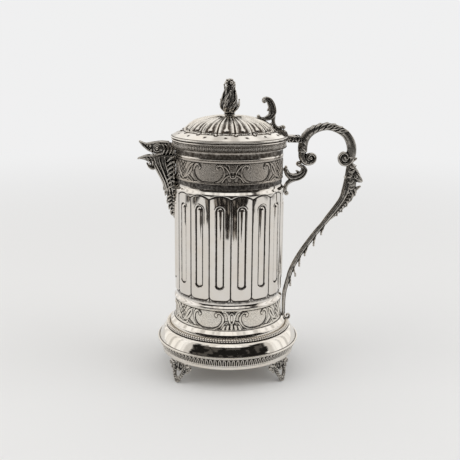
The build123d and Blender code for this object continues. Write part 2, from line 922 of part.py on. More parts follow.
export_step(handle_stem.part, "parts/handle_stem.step")

# Grotesque head on the outside of the stem, its beak open, with a leaf below it
mask_x = right_eye
tip_x = body_radius + mask_reach
with BuildPart() as handle_mask:
    upper = bar(
        [
            (mask_x + 5, volute_level - 4),
            (mask_x + 8, volute_level - 11.5),
            (mask_x + 12, volute_level - 18),
            (tip_x - 0.9, volute_level - 22.4),
        ],
        [8.0, 11.5, 10.0, 6.5, 2.4],
        mask_width,
    )
    add(upper)
    cheek = bar(
        [
            (mask_x + 6, volute_level - 9),
            (mask_x + 7.6, volute_level - 20),
            (mask_x + 7, volute_level - 33),
        ],
        [6.0, 9.0, 8.0, 6.0],
        mask_width * 0.85,
    )
    add(cheek)
    jaw = bar(
        [
            (mask_x + 4, volute_level - 33),
            (mask_x + 10.5, volute_level - 29.6),
            (tip_x - 1.6, volute_level - 26.6),
        ],
        [6.0, 5.4, 4.0, 1.8],
        mask_width * 0.75,
    )
    add(jaw)
    leaf = bar(
        [
            (mask_x + 9.5, volute_level - 28),
            (mask_x + 9.5, volute_level - 34.5),
            (mask_x + 3, volute_level - 46),
            (mask_x - 5, volute_level - 54.2),
            (mask_x - 11, volute_level - 59.2),
        ],
        [4.6, 6.4, 6.0, 4.4, 2.4],
        mask_width * 0.7,
    )
    add(leaf)
    add(handle_stem.part, mode=Mode.SUBTRACT)
    add(handle_grip.part, mode=Mode.SUBTRACT)
handle_mask.part.label = "handle_mask"
export_step(handle_mask.part, "parts/handle_mask.step")


# Hinge: the middle knuckle belongs to the grip, the outer two to the lid

hinge_x = body_radius + hinge_reach
hinge_z = rim_top - hinge_drop
with BuildPart() as hinge_bracket:
    with BuildSketch(side):
        with Locations((hinge_x, hinge_z)):
            Circle(knuckle_radius)
        with Locations((hinge_x, hinge_z - knuckle_radius * 0.4)):
            Rectangle(
                grip_left - hinge_x,
                knuckle_radius * 1.2,
                align=(Align.MIN, Align.CENTER),
            )
        with Locations((hinge_x, hinge_z)):
            Circle(pin_radius + pin_seat, mode=Mode.SUBTRACT)
    extrude(amount=knuckle_length / 2, both=True)
    add(handle_grip.part, mode=Mode.SUBTRACT)
hinge_bracket.part.label = "hinge_bracket"
export_step(hinge_bracket.part, "parts/hinge_bracket.step")

with BuildPart() as hinge_pin:
    with BuildSketch(side):
        with Locations((hinge_x, hinge_z)):
            Circle(pin_radius)
    extrude(amount=hinge_half_width + pin_end, both=True)
hinge_pin.part.label = "hinge_pin"
export_step(hinge_pin.part, "parts/hinge_pin.step")

# Leaf on the lid: it climbs the flange and ends in a flat saddle for the thumbpiece
leaf_bottom = lid_bottom + leaf_gap
saddle_top = dome_foot - saddle_drop
saddle_outer = lid_radius - saddle_inset
saddle_inner = lobe_foot_radius + saddle_clearance
with BuildPart() as lid_hinge:
    with BuildSketch(side):
        with Locations((hinge_x, hinge_z)):
            Circle(knuckle_radius)
        with BuildLine():
            Polyline(
                (saddle_inner, saddle_top),
                (saddle_inner, lid_bottom + lid_wall * 2),
                (saddle_outer, lid_bottom + lid_wall),
                (saddle_outer, leaf_bottom),
                (hinge_x, leaf_bottom),
                (hinge_x, hinge_z + knuckle_radius),
                (lid_radius, hinge_z + knuckle_radius + leaf_gap),
                (saddle_outer, saddle_top),
                close=True,
            )
        make_face()
    extrude(amount=hinge_half_width, both=True)
    with BuildSketch(side):
        with Locations((hinge_x, hinge_z)):
            Circle(knuckle_radius + knuckle_gap)
    extrude(amount=knuckle_length / 2 + knuckle_gap, both=True, mode=Mode.SUBTRACT)
    with BuildSketch(side):
        with Locations((hinge_x, hinge_z)):
            Circle(pin_radius + pin_clearance)
    extrude(amount=hinge_half_width, both=True, mode=Mode.SUBTRACT)
    add(lid_shell.part, mode=Mode.SUBTRACT)
lid_hinge.part.label = "lid_hinge"
export_step(lid_hinge.part, "parts/lid_hinge.step")

# Thumbpiece: a curled scroll over a short leg, with a second curl towards the handle
thumb_x = lobe_foot_radius + thumb_reach
thumb_z = lid_bottom + thumb_rise
with BuildPart() as thumbpiece:
    curl = bar(
        [
            (thumb_x - 17, thumb_z - 0.8),
            (thumb_x - 13.6, thumb_z + 1.4),
            (thumb_x - 9.6, thumb_z - 3.2),
            (thumb_x - 8.6, thumb_z - 9),
            (thumb_x - 10, thumb_z - 14),
            (thumb_x - 14, thumb_z - 17.3),
            (thumb_x - 19, thumb_z - 17.2),
            (thumb_x - 22.2, thumb_z - 15.6),
        ],
        [2.6, 3.2, 4.2, 5.0, 5.2, 4.4, 3.2, 2.4],
        thumb_width,
    )
    add(curl)
    leg = bar(
        [
            (thumb_x - 8.9, thumb_z - 11.5),
            (thumb_x - 9.1, thumb_z - 19.4),
            (thumb_x - 7.2, thumb_z - 23.6),
            (thumb_x - 2.0, thumb_z - 27.2),
            (thumb_x - 0.8, thumb_z - 31.6),
        ],
        [4.0, 3.2, 3.4, 4.2, 5.0],
        thumb_width,
    )
    add(leg)
    with Locations(side_point(thumb_x - 17, thumb_z - 1.2)):
        Sphere(2.2)
    with Locations(side_point(thumb_x - 22.2, thumb_z - 15.4)):
        Sphere(1.9)
    with Locations(side_point(thumb_x - 0.3, thumb_z - 25.9)):
        Sphere(2.4)
    with BuildSketch(level(saddle_top)):
        Circle(lid_radius)
    extrude(amount=-thumb_rise, mode=Mode.SUBTRACT)
thumbpiece.part.label = "thumbpiece"
export_step(thumbpiece.part, "parts/thumbpiece.step")


# Spout: hollow neck with a leaf tail, then head and jaw with the mouth between them

split_level = rim_top - spout_split_drop
spout_half = spout_width / 2


def neck(levels, taken):
    """Solid of the spout's neck: upright ellipses, each with its reach and half width."""
    with BuildPart() as result:
        for height, reach, half in levels:
            inside = body_radius - 4
            outside = body_radius + reach - taken
            with BuildSketch(level(height)):
                with Locations((-(inside + outside) / 2, 0)):
                    Ellipse((outside - inside) / 2, half - taken)
        loft()
    return result.part


neck_levels = [
    (split_level - 60.5, 2.4, 2.6),
    (split_level - 46, 7.0, 4.4),
    (split_level - 34, 9.6, 6.4),
    (split_level - 22, 13.6, 7.8),
    (split_level - 11, 20.2, spout_half),
    (split_level, 24.2, spout_half),
]
cavity_levels = [
    (split_level - 24, 14.6, 7.0),
    (split_level - 11, 20.2, spout_half),
    (split_level, 24.2, spout_half),
]


def head_body(stations):
    """Solid lofted along the spout from upright ellipses given by reach, height and half sizes."""
    with BuildPart() as result:
        for reach, height, half_width, half_height in stations:
            station = Plane(
                origin=(body_x - body_radius - reach, 0, height),
                x_dir=(0, 1, 0),
                z_dir=(-1, 0, 0),
            )
            with BuildSketch(station):
                Ellipse(half_width, half_height)
        loft()
    return result.part


with BuildPart() as spout_neck:
    add(neck(neck_levels, 0))
    add(neck(cavity_levels, spout_wall), mode=Mode.SUBTRACT)
    with BuildSketch(level(flute_bottom)):
        Circle(body_radius - wall / 2)
    extrude(amount=rim_top - flute_bottom, mode=Mode.SUBTRACT)
    with BuildSketch(level(upper_frieze_bottom)):
        Circle(upper_frieze_radius)
    extrude(amount=rim_top - upper_frieze_bottom, mode=Mode.SUBTRACT)
    add(vessel_wall.part, mode=Mode.SUBTRACT)
spout_neck.part.label = "spout_neck"
export_step(spout_neck.part, "parts/spout_neck.step")

throat_plane = Plane(
    origin=(body_x - inner_radius, 0, split_level + throat_height * 0.28),
    x_dir=(0, 1, 0),
    z_dir=(-1, 0, 0),
)
with BuildPart() as spout_head:
    skull = head_body(
        [
            (-2, split_level + 6.6, spout_half - 0.6, 7.0),
            (9, split_level + 6.0, spout_half - 0.4, 6.5),
            (17, split_level + 6.2, spout_half - 0.8, 6.2),
            (23, split_level + 6.4, 5.2, 4.6),
            (28.5, split_level + 8.4, 3.3, 3.0),
            (spout_reach - 1.6, split_level + 12.6, 1.3, beak_thickness / 2),
        ]
    )
    add(skull)
    with Locations(
        side_point(-body_radius - 17.2, split_level + 6.7, spout_half - 1.2),
        side_point(-body_radius - 17.2, split_level + 6.7, 1.2 - spout_half),
    ):
        Sphere(eyeball_radius)
    with BuildSketch(throat_plane):
        Ellipse(throat_width / 2, throat_height / 2)
    extrude(amount=wall + 26.5, mode=Mode.SUBTRACT)
    with BuildSketch(level(0)):
        Circle(body_radius * 3)
    extrude(amount=split_level, mode=Mode.SUBTRACT)
    with BuildSketch(level(split_level - 1)):
        Circle(upper_frieze_radius)
    extrude(amount=rim_height * 2, mode=Mode.SUBTRACT)
    add(rim_moulding.part, mode=Mode.SUBTRACT)
    with BuildSketch(level(rim_bottom)):
        Circle(rim_radius - rim_overhang * 0.4)
    extrude(amount=rim_height * 2, mode=Mode.SUBTRACT)
spout_head.part.label = "spout_head"
export_step(spout_head.part, "parts/spout_head.step")

with BuildPart() as spout_jaw:
    beak = head_body(
        [
            (16, split_level - 5.8, spout_half - 2.4, 5.2),
            (23.5, split_level - 3.6, 5.0, 4.4),
            (29, split_level - 2.6, 3.3, 2.5),
            (spout_reach, split_level - 3.7, 1.3, beak_thickness / 2),
        ]
    )
    add(beak)
    with Locations(side_point(-body_radius - 22.4, split_level - 11.4)):
        Sphere(2.9)
    with Locations(
        Plane(origin=(body_x - body_radius - 14, 0, split_level + 1.4), z_dir=(-1, 0, 0))
    ):
        Cylinder(3.2, 30, align=(Align.CENTER, Align.CENTER, Align.MIN), mode=Mode.SUBTRACT)
    add(neck(neck_levels, 0), mode=Mode.SUBTRACT)
    add(spout_head.part, mode=Mode.SUBTRACT)
    with BuildSketch(level(split_level)):
        with Locations((-body_radius - 12, 0)):
            Rectangle(24.4, spout_width)
    extrude(amount=20, mode=Mode.SUBTRACT)
spout_jaw.part.label = "spout_jaw"
export_step(spout_jaw.part, "parts/spout_jaw.step")
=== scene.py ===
import math

import bpy
import numpy as np
from mathutils import Matrix, Vector


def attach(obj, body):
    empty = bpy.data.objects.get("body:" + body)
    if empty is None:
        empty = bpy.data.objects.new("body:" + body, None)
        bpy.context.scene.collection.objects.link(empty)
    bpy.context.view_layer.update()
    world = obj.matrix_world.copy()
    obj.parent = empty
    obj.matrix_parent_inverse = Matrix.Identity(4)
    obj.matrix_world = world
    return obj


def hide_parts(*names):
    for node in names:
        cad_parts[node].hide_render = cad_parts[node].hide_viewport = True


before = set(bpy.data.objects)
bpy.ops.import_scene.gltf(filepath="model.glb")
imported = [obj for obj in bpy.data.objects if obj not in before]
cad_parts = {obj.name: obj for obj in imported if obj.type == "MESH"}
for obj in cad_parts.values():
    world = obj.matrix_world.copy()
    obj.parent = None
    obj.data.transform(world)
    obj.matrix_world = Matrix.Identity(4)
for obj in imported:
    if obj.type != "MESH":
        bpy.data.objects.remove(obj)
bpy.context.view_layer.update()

# The studio: a pale floor that reaches to the horizon, soft light all round, and a dim side behind the
# camera, which the silver shows as dark streaks. The camera stands where the photograph was taken.
axis_x = -0.021
studio_white = (0.87, 0.87, 0.8726, 1)
eye = Vector((axis_x - 0.0375, -0.742, 0.312))
eye_turn, eye_pitch, eye_roll = math.radians(3.0), math.radians(13.34), math.radians(0.52)



def new_object(name, data):
    """An object in the scene, of a mesh, a lamp or a camera."""
    made = bpy.data.objects.new(name, data)
    bpy.context.scene.collection.objects.link(made)
    return made


bpy.context.scene.view_settings.view_transform = "Standard"
camera_data = bpy.data.cameras.new("camera")
camera = new_object("camera", camera_data)
bpy.context.scene.camera = camera
camera_data.sensor_fit = "AUTO"
camera_data.sensor_width = 36.0
camera_data.angle = 2 * math.atan(230 / 800)
camera_data.clip_start = 0.01
camera_data.clip_end = 100
ahead = Vector((math.sin(eye_turn) * math.cos(eye_pitch), math.cos(eye_turn) * math.cos(eye_pitch),
    -math.sin(eye_pitch)))
across = Vector((math.cos(eye_turn), -math.sin(eye_turn), 0))
above = across.cross(ahead)
right = across * math.cos(eye_roll) + above * math.sin(eye_roll)
up = above * math.cos(eye_roll) - across * math.sin(eye_roll)
camera.matrix_world = Matrix.Translation(eye) @ Matrix((right, up, -ahead)).transposed().to_4x4()


def node_adder(tree):
    """A function that adds one node to a tree, sets its fields and its unlinked inputs, and links the rest.
    A node given as an input stands for its first output, and numbered inputs are i0, i1 and so on."""
    def add(kind, fields=None, **inputs):
        node = tree.nodes.new("ShaderNode" + kind if kind[:4] != "Node" else kind)
        for key, value in (fields or {}).items():
            setattr(node, key, value)
        for key, value in inputs.items():
            slot = int(key[1:]) if key[0] == "i" and key[1:].isdigit() else key.replace("_", " ")
            if isinstance(value, bpy.types.Node):
                value = value.outputs[0]
            if isinstance(value, bpy.types.NodeSocket):
                tree.links.new(value, node.inputs[slot])
            else:
                node.inputs[slot].default_value = value
        return node
    return add


def reckon(add, operation, *values):
    """One step of arithmetic on nodes or numbers."""
    return add("Math", {"operation": operation}, **{f"i{k}": value for k, value in enumerate(values)})


def fade(add, value, low, high, start=0.0, end=1.0, kind="SMOOTHSTEP"):
    """A value carried from one range to another, between a low and a high limit."""
    return add("MapRange", {"interpolation_type": kind}, Value=value, From_Min=low, From_Max=high,
        To_Min=start, To_Max=end)


def blend(add, share, first, second, kind="MIX"):
    """Two colours mixed by a share."""
    return add("Mix", {"data_type": "RGBA", "blend_type": kind}, Factor=share, i6=first, i7=second).outputs[2]


world = bpy.data.worlds.new("studio")
bpy.context.scene.world = world
world.use_nodes = True
world.node_tree.nodes.clear()
sky = node_adder(world.node_tree)
way = sky("TexCoord").outputs["Generated"]
east, north, height = sky("SeparateXYZ", Vector=way).outputs
turn = reckon(sky, "ABSOLUTE", reckon(sky, "ARCTAN2", east, reckon(sky, "MULTIPLY", north, -1.0)))
ragged = sky("TexNoise", Vector=way, Scale=3.5, Detail=2.0)
dim_side = fade(sky, reckon(sky, "MULTIPLY_ADD", ragged, 0.5, turn), 1.4, 1.48, 1.0, 0.0)
dim_high = fade(sky, reckon(sky, "MULTIPLY_ADD", ragged, 0.16, height), 0.8, 0.84, 1.0, 0.0)
clutter = fade(sky, sky("TexNoise", Vector=way, Scale=5.0, Detail=2.0), 0.55, 0.58, 0.012, 0.09, "LINEAR")
dark_tone = sky("CombineColor", Red=clutter, Green=reckon(sky, "MULTIPLY", clutter, 0.93),
    Blue=reckon(sky, "MULTIPLY", clutter, 0.86))
bars = sky("TexNoise", {"noise_dimensions": "1D"}, W=turn, Scale=4.2, Detail=1.0)
walls = blend(sky, fade(sky, bars, 0.4, 0.54, 0.5, 1.0, "LINEAR"), (0.3, 0.275, 0.245, 1),
    (1.16, 1.145, 1.12, 1))
room = blend(sky, reckon(sky, "MULTIPLY", dim_side, dim_high), walls, dark_tone)
path = sky("LightPath")
even = sky("Background", Color=(1.0, 0.995, 0.985, 1), Strength=0.76)
lit = sky("MixShader", i0=path.outputs["Is Glossy Ray"], i1=even, i2=sky("Background", Color=room))
sky("OutputWorld",
    Surface=sky("MixShader", i0=path.outputs["Is Camera Ray"], i1=lit,
        i2=sky("Background", Color=studio_white)))

floor_mesh = bpy.data.meshes.new("floor")
rings, spokes = 40, 96
corners = [(0.0, 0.0, 0.0)]
for radius in np.geomspace(0.05, 6.0, rings):
    for k in range(spokes):
        a = 2 * math.pi * k / spokes
        corners.append((radius * math.cos(a), radius * math.sin(a), 0.0))
tiles = [(0, 1 + k, 1 + (k + 1) % spokes) for k in range(spokes)]
for ring in range(rings - 1):
    low = 1 + ring * spokes
    for k in range(spokes):
        tiles.append((low + k, low + spokes + k, low + spokes + (k + 1) % spokes, low + (k + 1) % spokes))
floor_mesh.from_pydata(corners, [], tiles)
new_object("floor", floor_mesh)


def new_material(name):
    """An empty node material; returns it with a function that adds nodes."""
    material = bpy.data.materials.new(name)
    material.use_nodes = True
    material.node_tree.nodes.clear()
    return material, node_adder(material.node_tree)


floor_look, add = new_material("floor_paper")
place = add("NewGeometry").outputs["Position"]
spot = add("SeparateXYZ", Vector=place).outputs
ragged = add("TexNoise", Vector=place, Scale=4.2, Detail=2.0)
front = fade(add, reckon(add, "MULTIPLY_ADD", ragged, 0.3, spot[1]), -0.5, -0.485)
beside = fade(add, reckon(add, "ABSOLUTE", spot[0]), 0.86, 0.92, 1.0, 0.0)
behind = fade(add, spot[1], -0.05, 0.25)
sheet_edge = reckon(add, "MULTIPLY", front, reckon(add, "MAXIMUM", beside, behind))
not_gloss = reckon(add, "SUBTRACT", 1.0, add("LightPath").outputs["Is Glossy Ray"])
litter = fade(add, add("TexNoise", Vector=place, Scale=9.0, Detail=1.0), 0.59, 0.61, kind="LINEAR")
beyond = blend(add, litter, (0.016, 0.014, 0.013, 1), (0.3, 0.27, 0.24, 1))
tone = blend(add, reckon(add, "MAXIMUM", sheet_edge, not_gloss), beyond, (0.86, 0.858, 0.855, 1))
sheet = add("BsdfPrincipled", Base_Color=tone, Roughness=0.6, Specular_IOR_Level=0.0)
far = fade(add, add("VectorMath", {"operation": "LENGTH"}, i0=place).outputs["Value"], 0.45, 1.6)
add("OutputMaterial",
    Surface=add("MixShader", i0=reckon(add, "MULTIPLY", far, not_gloss), i1=sheet,
        i2=add("Emission", Color=studio_white)))
floor_mesh.materials.append(floor_look)

for name, spot_at, tint in (("softbox_left", (-1.8, -0.6, 1.4), (1.0, 0.985, 0.96)),
        ("softbox_right", (1.75, -0.55, 1.4), (0.98, 0.99, 1.0))):
    lamp = bpy.data.lights.new(name, "AREA")
    lamp.energy = 10.5
    lamp.size = 1.7
    lamp.color = tint
    box = new_object(name, lamp)
    box.location = spot_at
    box.visible_glossy = False
    box.rotation_euler = (Vector((axis_x, 0, 0.12)) - Vector(spot_at)).to_track_quat("-Z", "Y").to_euler()


# Body wall and floor: one raised tube of sheet silver, beaten into sixteen round-topped panels that hang
# under a low arcade, each with a rounded rod lying in its groove. A flat disc closes it. Oxide is painted
# along every edge and stands also for painted shade in the grooves and the recess under the panels; the
# plain band over the arcade is painted dark as a reflection.
old_silver = bpy.data.node_groups.new("old_silver", "ShaderNodeTree")
for label, direction, kind in (("Vector", "INPUT", "Vector"), ("Clean", "INPUT", "Color"),
        ("Tarnish", "INPUT", "Color"), ("Hollow", "INPUT", "Float"), ("Cloud Scale", "INPUT", "Float"),
        ("Base Roughness", "INPUT", "Float"), ("Scratch", "INPUT", "Float"), ("Color", "OUTPUT", "Color"),
        ("Roughness", "OUTPUT", "Float"), ("Height", "OUTPUT", "Float")):
    old_silver.interface.new_socket(label, in_out=direction, socket_type="NodeSocket" + kind)
put = node_adder(old_silver)
given = put("NodeGroupInput").outputs
clouds = put("TexNoise", Vector=given["Vector"], Scale=given["Cloud Scale"], Detail=5.0, Roughness=0.6)
bloom = fade(put, clouds, 0.42, 0.75, 0.0, 0.35, "LINEAR")
warm = blend(put, bloom, given["Clean"], (0.86, 0.78, 0.67, 1), "MULTIPLY")
specks = put("TexNoise", Vector=given["Vector"], Scale=420.0, Detail=4.0)
# Where a piece is marked, the dark tarnish colour is laid in: oxide in its hollows, and painted shade where
# the marks stand for it.
patina_and_shade_share = fade(put, reckon(put, "MULTIPLY_ADD", specks, 0.5, given["Hollow"]), 0.42, 0.95)
patina_and_shade_share = reckon(put, "MULTIPLY", patina_and_shade_share, reckon(put, "GREATER_THAN", given["Hollow"], 0.001))
scratches = put("TexNoise", Vector=put("Mapping", Vector=given["Vector"], Scale=(900.0, 900.0, 90.0)),
    Scale=1.0, Detail=3.0)
rough = reckon(put, "MULTIPLY_ADD", scratches, given["Scratch"], given["Base Roughness"])
swell = put("TexNoise", Vector=given["Vector"], Scale=55.0, Detail=1.0)
put("NodeGroupOutput", Color=blend(put, patina_and_shade_share, warm, given["Tarnish"]),
    Roughness=reckon(put, "MULTIPLY_ADD", patina_and_shade_share, 0.35, rough),
    Height=reckon(put, "MULTIPLY_ADD", scratches, 0.012, swell))


def silver_finish(name, clean, tarnish, rough, scratch, cloud=60.0, reads_patina_and_shade=True, stipple=0.0):
    """One silver finish: old_silver feeding a metal shader, darkened with tarnish and painted shade where
    the piece has any marked, and with a stippled ground if wanted."""
    material, add = new_material(name)
    where = add("TexCoord").outputs["Object"]
    marked = add("Attribute", {"attribute_name": "hollow"}).outputs["Fac"] if reads_patina_and_shade else 0.0
    tone = add("Group", {"node_tree": old_silver}, Vector=where, Clean=(*clean, 1), Tarnish=(*tarnish, 1),
        Hollow=marked, Cloud_Scale=cloud, Base_Roughness=rough, Scratch=scratch).outputs
    normal = add("Bump", Height=tone["Height"], Distance=0.00015, Strength=1.0)
    if stipple:
        grain = add("TexVoronoi", {"feature": "F1"}, Scale=1900.0, Vector=where)
        ground = add("Attribute", {"attribute_name": "ground"}).outputs["Fac"]
        normal = add("Bump", Height=reckon(add, "MULTIPLY", grain, ground), Distance=stipple, Strength=1.0,
            Normal=normal)
    metal = add("BsdfPrincipled", Base_Color=tone["Color"], Metallic=1.0, Roughness=tone["Roughness"],
        Normal=normal)
    add("OutputMaterial", Surface=metal)
    return material


def dress(node_name, material):
    """Gives a CAD node that stays its material."""
    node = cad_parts[node_name]
    node.data.materials.clear()
    node.data.materials.append(material)


polished = silver_finish("polished_silver", (0.80, 0.765, 0.71), (0.05, 0.042, 0.036), 0.035, 0.07)
inside = silver_finish("inside_silver", (0.72, 0.68, 0.62), (0.06, 0.05, 0.045), 0.3, 0.2, reads_patina_and_shade=False)


def unit(values):
    """Values held between nothing and one."""
    return np.clip(values, 0, 1)


def mm(points):
    """Points in millimetres from the body's axis, as metres in the frame."""
    points = np.asarray(points, float) * 0.001
    points[..., 0] += axis_x
    return points


def quad_piece(name, points, quads, marks):
    """A smooth mesh piece from points in millimetres and four-sided faces, with named vertex values."""
    mesh = bpy.data.meshes.new(name)
    mesh.vertices.add(len(points))
    mesh.vertices.foreach_set("co", mm(points).astype(np.float32).ravel())
    mesh.loops.add(quads.size)
    mesh.loops.foreach_set("vertex_index", quads.astype(np.int32).ravel())
    mesh.polygons.add(len(quads))
    mesh.polygons.foreach_set("loop_start", np.arange(0, quads.size, 4, dtype=np.int32))
    mesh.update(calc_edges=True)
    mesh.polygons.foreach_set("use_smooth", np.ones(len(quads), bool))
    for key, values in marks.items():
        attribute = mesh.attributes.new(key, "FLOAT", "POINT")
        attribute.data.foreach_set("value", np.asarray(values, np.float32).ravel())
    return new_object(name, mesh)


def finish_piece(piece, body, material, slot, *nodes):
    """Puts a finished piece on its body, in its finish, in place of the CAD nodes it stands for."""
    piece.data.materials.append(material)
    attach(piece, body)
    if nodes:
        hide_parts(*nodes)


def turned(name, radius, height, marks, first_turn=0.0, gap=None):
    """A closed ring: rows of angles by columns of outline, given as arrays of radius and height; the
    faces where gap is true are left out."""
    around, along = radius.shape
    angle = np.radians(first_turn) + np.arange(around) * 2 * np.pi / around
    height = np.broadcast_to(height, radius.shape)
    points = np.stack([radius * np.sin(angle)[:, None], -radius * np.cos(angle)[:, None], height], -1)
    index = np.arange(around * along).reshape(around, along)
    beyond = np.roll(index, -1, 0)
    quads = np.stack([index, beyond, np.roll(beyond, -1, 1), np.roll(index, -1, 1)], -1).reshape(-1, 4)
    if gap is not None:
        quads = quads[~gap.ravel()]
    marks = {key: np.broadcast_to(values, radius.shape) for key, values in marks.items()}
    return quad_piece(name, points.reshape(-1, 3), quads, marks)


def outline_rows(knots, step):
    """Points along a straight-sided outline, a step apart at most, as arrays of radius and height."""
    rows = []
    for (r0, z0), (r1, z1) in zip(knots, knots[1:]):
        parts = max(1, round(math.hypot(r1 - r0, z1 - z0) / step))
        rows += [(r0 + (r1 - r0) * k / parts, z0 + (z1 - z0) * k / parts) for k in range(parts)]
    rows.append(knots[-1])
    return np.array(rows)


def long_round(u, v, half, low, high):
    """Distance outside the edge of an upright round-ended slot; less than nothing inside it."""
    return np.hypot(u, v - np.clip(v, low + half, high - half)) - half


def hump(distance, width):
    """One at no distance, falling away softly over a width on both sides."""
    return np.exp(-(distance / width) ** 2)


def pour_hole(radius, height, turn):
    """True where a wall lies in the pouring hole, a round-ended slot behind the spout."""
    return (long_round(radius * np.cos(turn), height, 6.5, 184.9, 205.9) < 0) & (np.sin(turn) < 0)


panels, per_panel, panel_half = 16, 40, 9.75
ring = panels * per_panel
panel_foot, panel_top, frieze_foot = 81.0, 178.0, 188.2
levels = np.concatenate([[73.0, 73.7, 74.6, 75.6, 76.4, 77.0, 77.6, 78.6, 79.6, 80.4],
    np.arange(80.8, 87.4, 0.42), np.arange(88.0, 91.2, 1.0), np.arange(91.4, 97.6, 0.4),
    np.linspace(98, 163, 7), np.arange(163.4, 169.6, 0.38), np.arange(169.8, 173.6, 0.8),
    np.arange(173.8, 179.6, 0.33), np.arange(179.8, 185.0, 0.55), [185.6, 186.6, frieze_foot]])
u = (((np.arange(ring) + 0.5) % per_panel) / per_panel * 2 - 1)[:, None] * panel_half
v = levels[None, :]
face = 51.35 - 0.75 * (u / panel_half) ** 2
groove = long_round(u, v, 4.0, 92.0, 168.5)
spine = long_round(u, v, 2.75, 93.4, 167.1) + 2.75
in_groove = unit(-groove / 0.45)
surface = face - 0.95 * in_groove * in_groove * (3 - 2 * in_groove)
rod = surface + 1.6 * np.sqrt(unit(1 - (spine / 2.75) ** 2))
surface = np.maximum(surface, rod) + 0.22 * hump(groove - 0.45, 0.35)
foot_edge = panel_foot + 4.2 - np.sqrt(np.clip(4.2 ** 2 - np.clip(abs(u) - 5.4, 0, 4.2) ** 2, 0, None))
arch_edge = panel_top - 3.3 * (u / panel_half) ** 2
seam = np.minimum(panel_half - abs(u), 9)
within = np.minimum(np.minimum(v - foot_edge, arch_edge - v), seam + 0.15)
roll = np.sqrt(unit(1 - (1 - unit(within / 1.1)) ** 2))
surface = 49.75 + (surface - 49.75) * roll
cove = np.interp(levels, [73, 73.7, 76.0, 76.4, 80.6, 174, 177.9, 178.6, 181.4, 182.4, frieze_foot],
    [51.9, 51.7, 49.8, 49.7, 49.7, 51.75, 51.8, 51.7, 49.8, 49.62, 49.6])[None, :]
over = unit((v - arch_edge) / 0.35)
surface = np.where(v > 170, surface * (1 - over) + cove * over, np.where(within < 0, cove, surface))
# Painted oxide and shade: dark lines round the grooves, along the seams, under the arches and the panel feet,
# painted shade in the recess below the panels, and a painted dark reflection on the plain band above the
# arcade.
oxide_and_shade = np.maximum.reduce([hump(groove + 0.6, 0.55) * 1.1,
    1.1 * hump(seam, 0.62) * (v < arch_edge + 0.3) * (v > 80.2), hump(v - arch_edge + 0.35, 0.55),
    hump(v - foot_edge + 0.5, 0.7), 0.55 * hump(v - 79.2, 1.7) * (v < foot_edge)])
oxide_and_shade = unit(oxide_and_shade) * (v > 76) * (v < 178.8) + 0.6 * (v > 183.2)
above = np.vstack([outline_rows([(49.5, 189.0), (49.5, 208.0)], 1.6), [(49.5, 223.9), (47.9, 223.9)]])
below = outline_rows([(47.9, 45.3), (49.5, 45.3), (49.5, 72.0), (50.2, 73.0)], 12.0)
inner = np.vstack([[(47.9, 222.6)], outline_rows([(47.9, 208.0), (47.9, 182.5)], 1.6),
    outline_rows([(47.9, 176.0), (47.9, 46.6)], 32.0)])
radius = np.hstack([np.tile(below[:, 0], (ring, 1)), surface, np.tile(above[:, 0], (ring, 1)),
    np.tile(inner[:, 0], (ring, 1))])
height = np.concatenate([below[:, 1], levels, above[:, 1], inner[:, 1]])[None, :]
marks = np.zeros_like(radius)
marks[:, len(below):len(below) + len(levels)] = oxide_and_shade
turn = np.radians((np.arange(ring) + 0.5) * 360 / ring)[:, None]
wall_silver = silver_finish("wall_silver", (0.77, 0.735, 0.69), (0.03, 0.025, 0.022), 0.025, 0.06)
piece = turned("fluted_wall", radius, height, {"hollow": marks}, 0, pour_hole(radius, height, turn))
finish_piece(piece, "jug", wall_silver, "polished_silver", "vessel_wall")
dress("vessel_floor", inside)


# Bands of relief: strips of rolled silver round the foot and the neck, with raised edges, stippled
# cartouches between rolled C-scrolls, small bells and larger sprays of leaves in turn; soldered on.
def curve_through(knots, count=60):
    """A smooth line through knots, by Catmull-Rom pieces."""
    knots = np.asarray(knots, float)
    ends = np.vstack([2 * knots[0] - knots[1], knots, 2 * knots[-1] - knots[-2]])
    share = np.linspace(0, len(knots) - 1, count)
    k = np.minimum(share.astype(int), len(knots) - 2)
    t = (share - k)[:, None]
    a, b, c, d = ends[k], ends[k + 1], ends[k + 2], ends[k + 3]
    return 0.5 * (2 * b + (c - a) * t + (2 * a - 5 * b + 4 * c - d) * t ** 2
        + (3 * b - a - 3 * c + d) * t ** 3)


def press(field, across, upward, tall, knots, widths, rise, mirrored=True):
    """Raises a rounded stroke on a relief field, and its mirror image. Its knots are given by distance
    across and share of the band's height."""
    line = curve_through([(x, share * tall) for x, share in knots])
    half = np.interp(np.linspace(0, 1, len(line)), np.linspace(0, 1, len(widths)), widths)
    for sign in (1, -1) if mirrored else (1,):
        for (x, y), w in zip(line, half):
            near = abs(across - sign * x) < w
            if not near.any():
                continue
            span = ((across[near] - sign * x) ** 2 + (upward[near] - y) ** 2) / w ** 2
            field[near] = np.maximum(field[near], rise * np.sqrt(unit(1 - span)))


def soft(field, steps):
    """A relief field blurred a few times, round and round the ring."""
    for _ in range(steps):
        field = (field + np.roll(field, 1, 0) + np.roll(field, -1, 0)
            + np.pad(field, ((0, 0), (1, 0)), mode="edge")[:, :-1]
            + np.pad(field, ((0, 0), (0, 1)), mode="edge")[:, 1:]) / 5
    return field


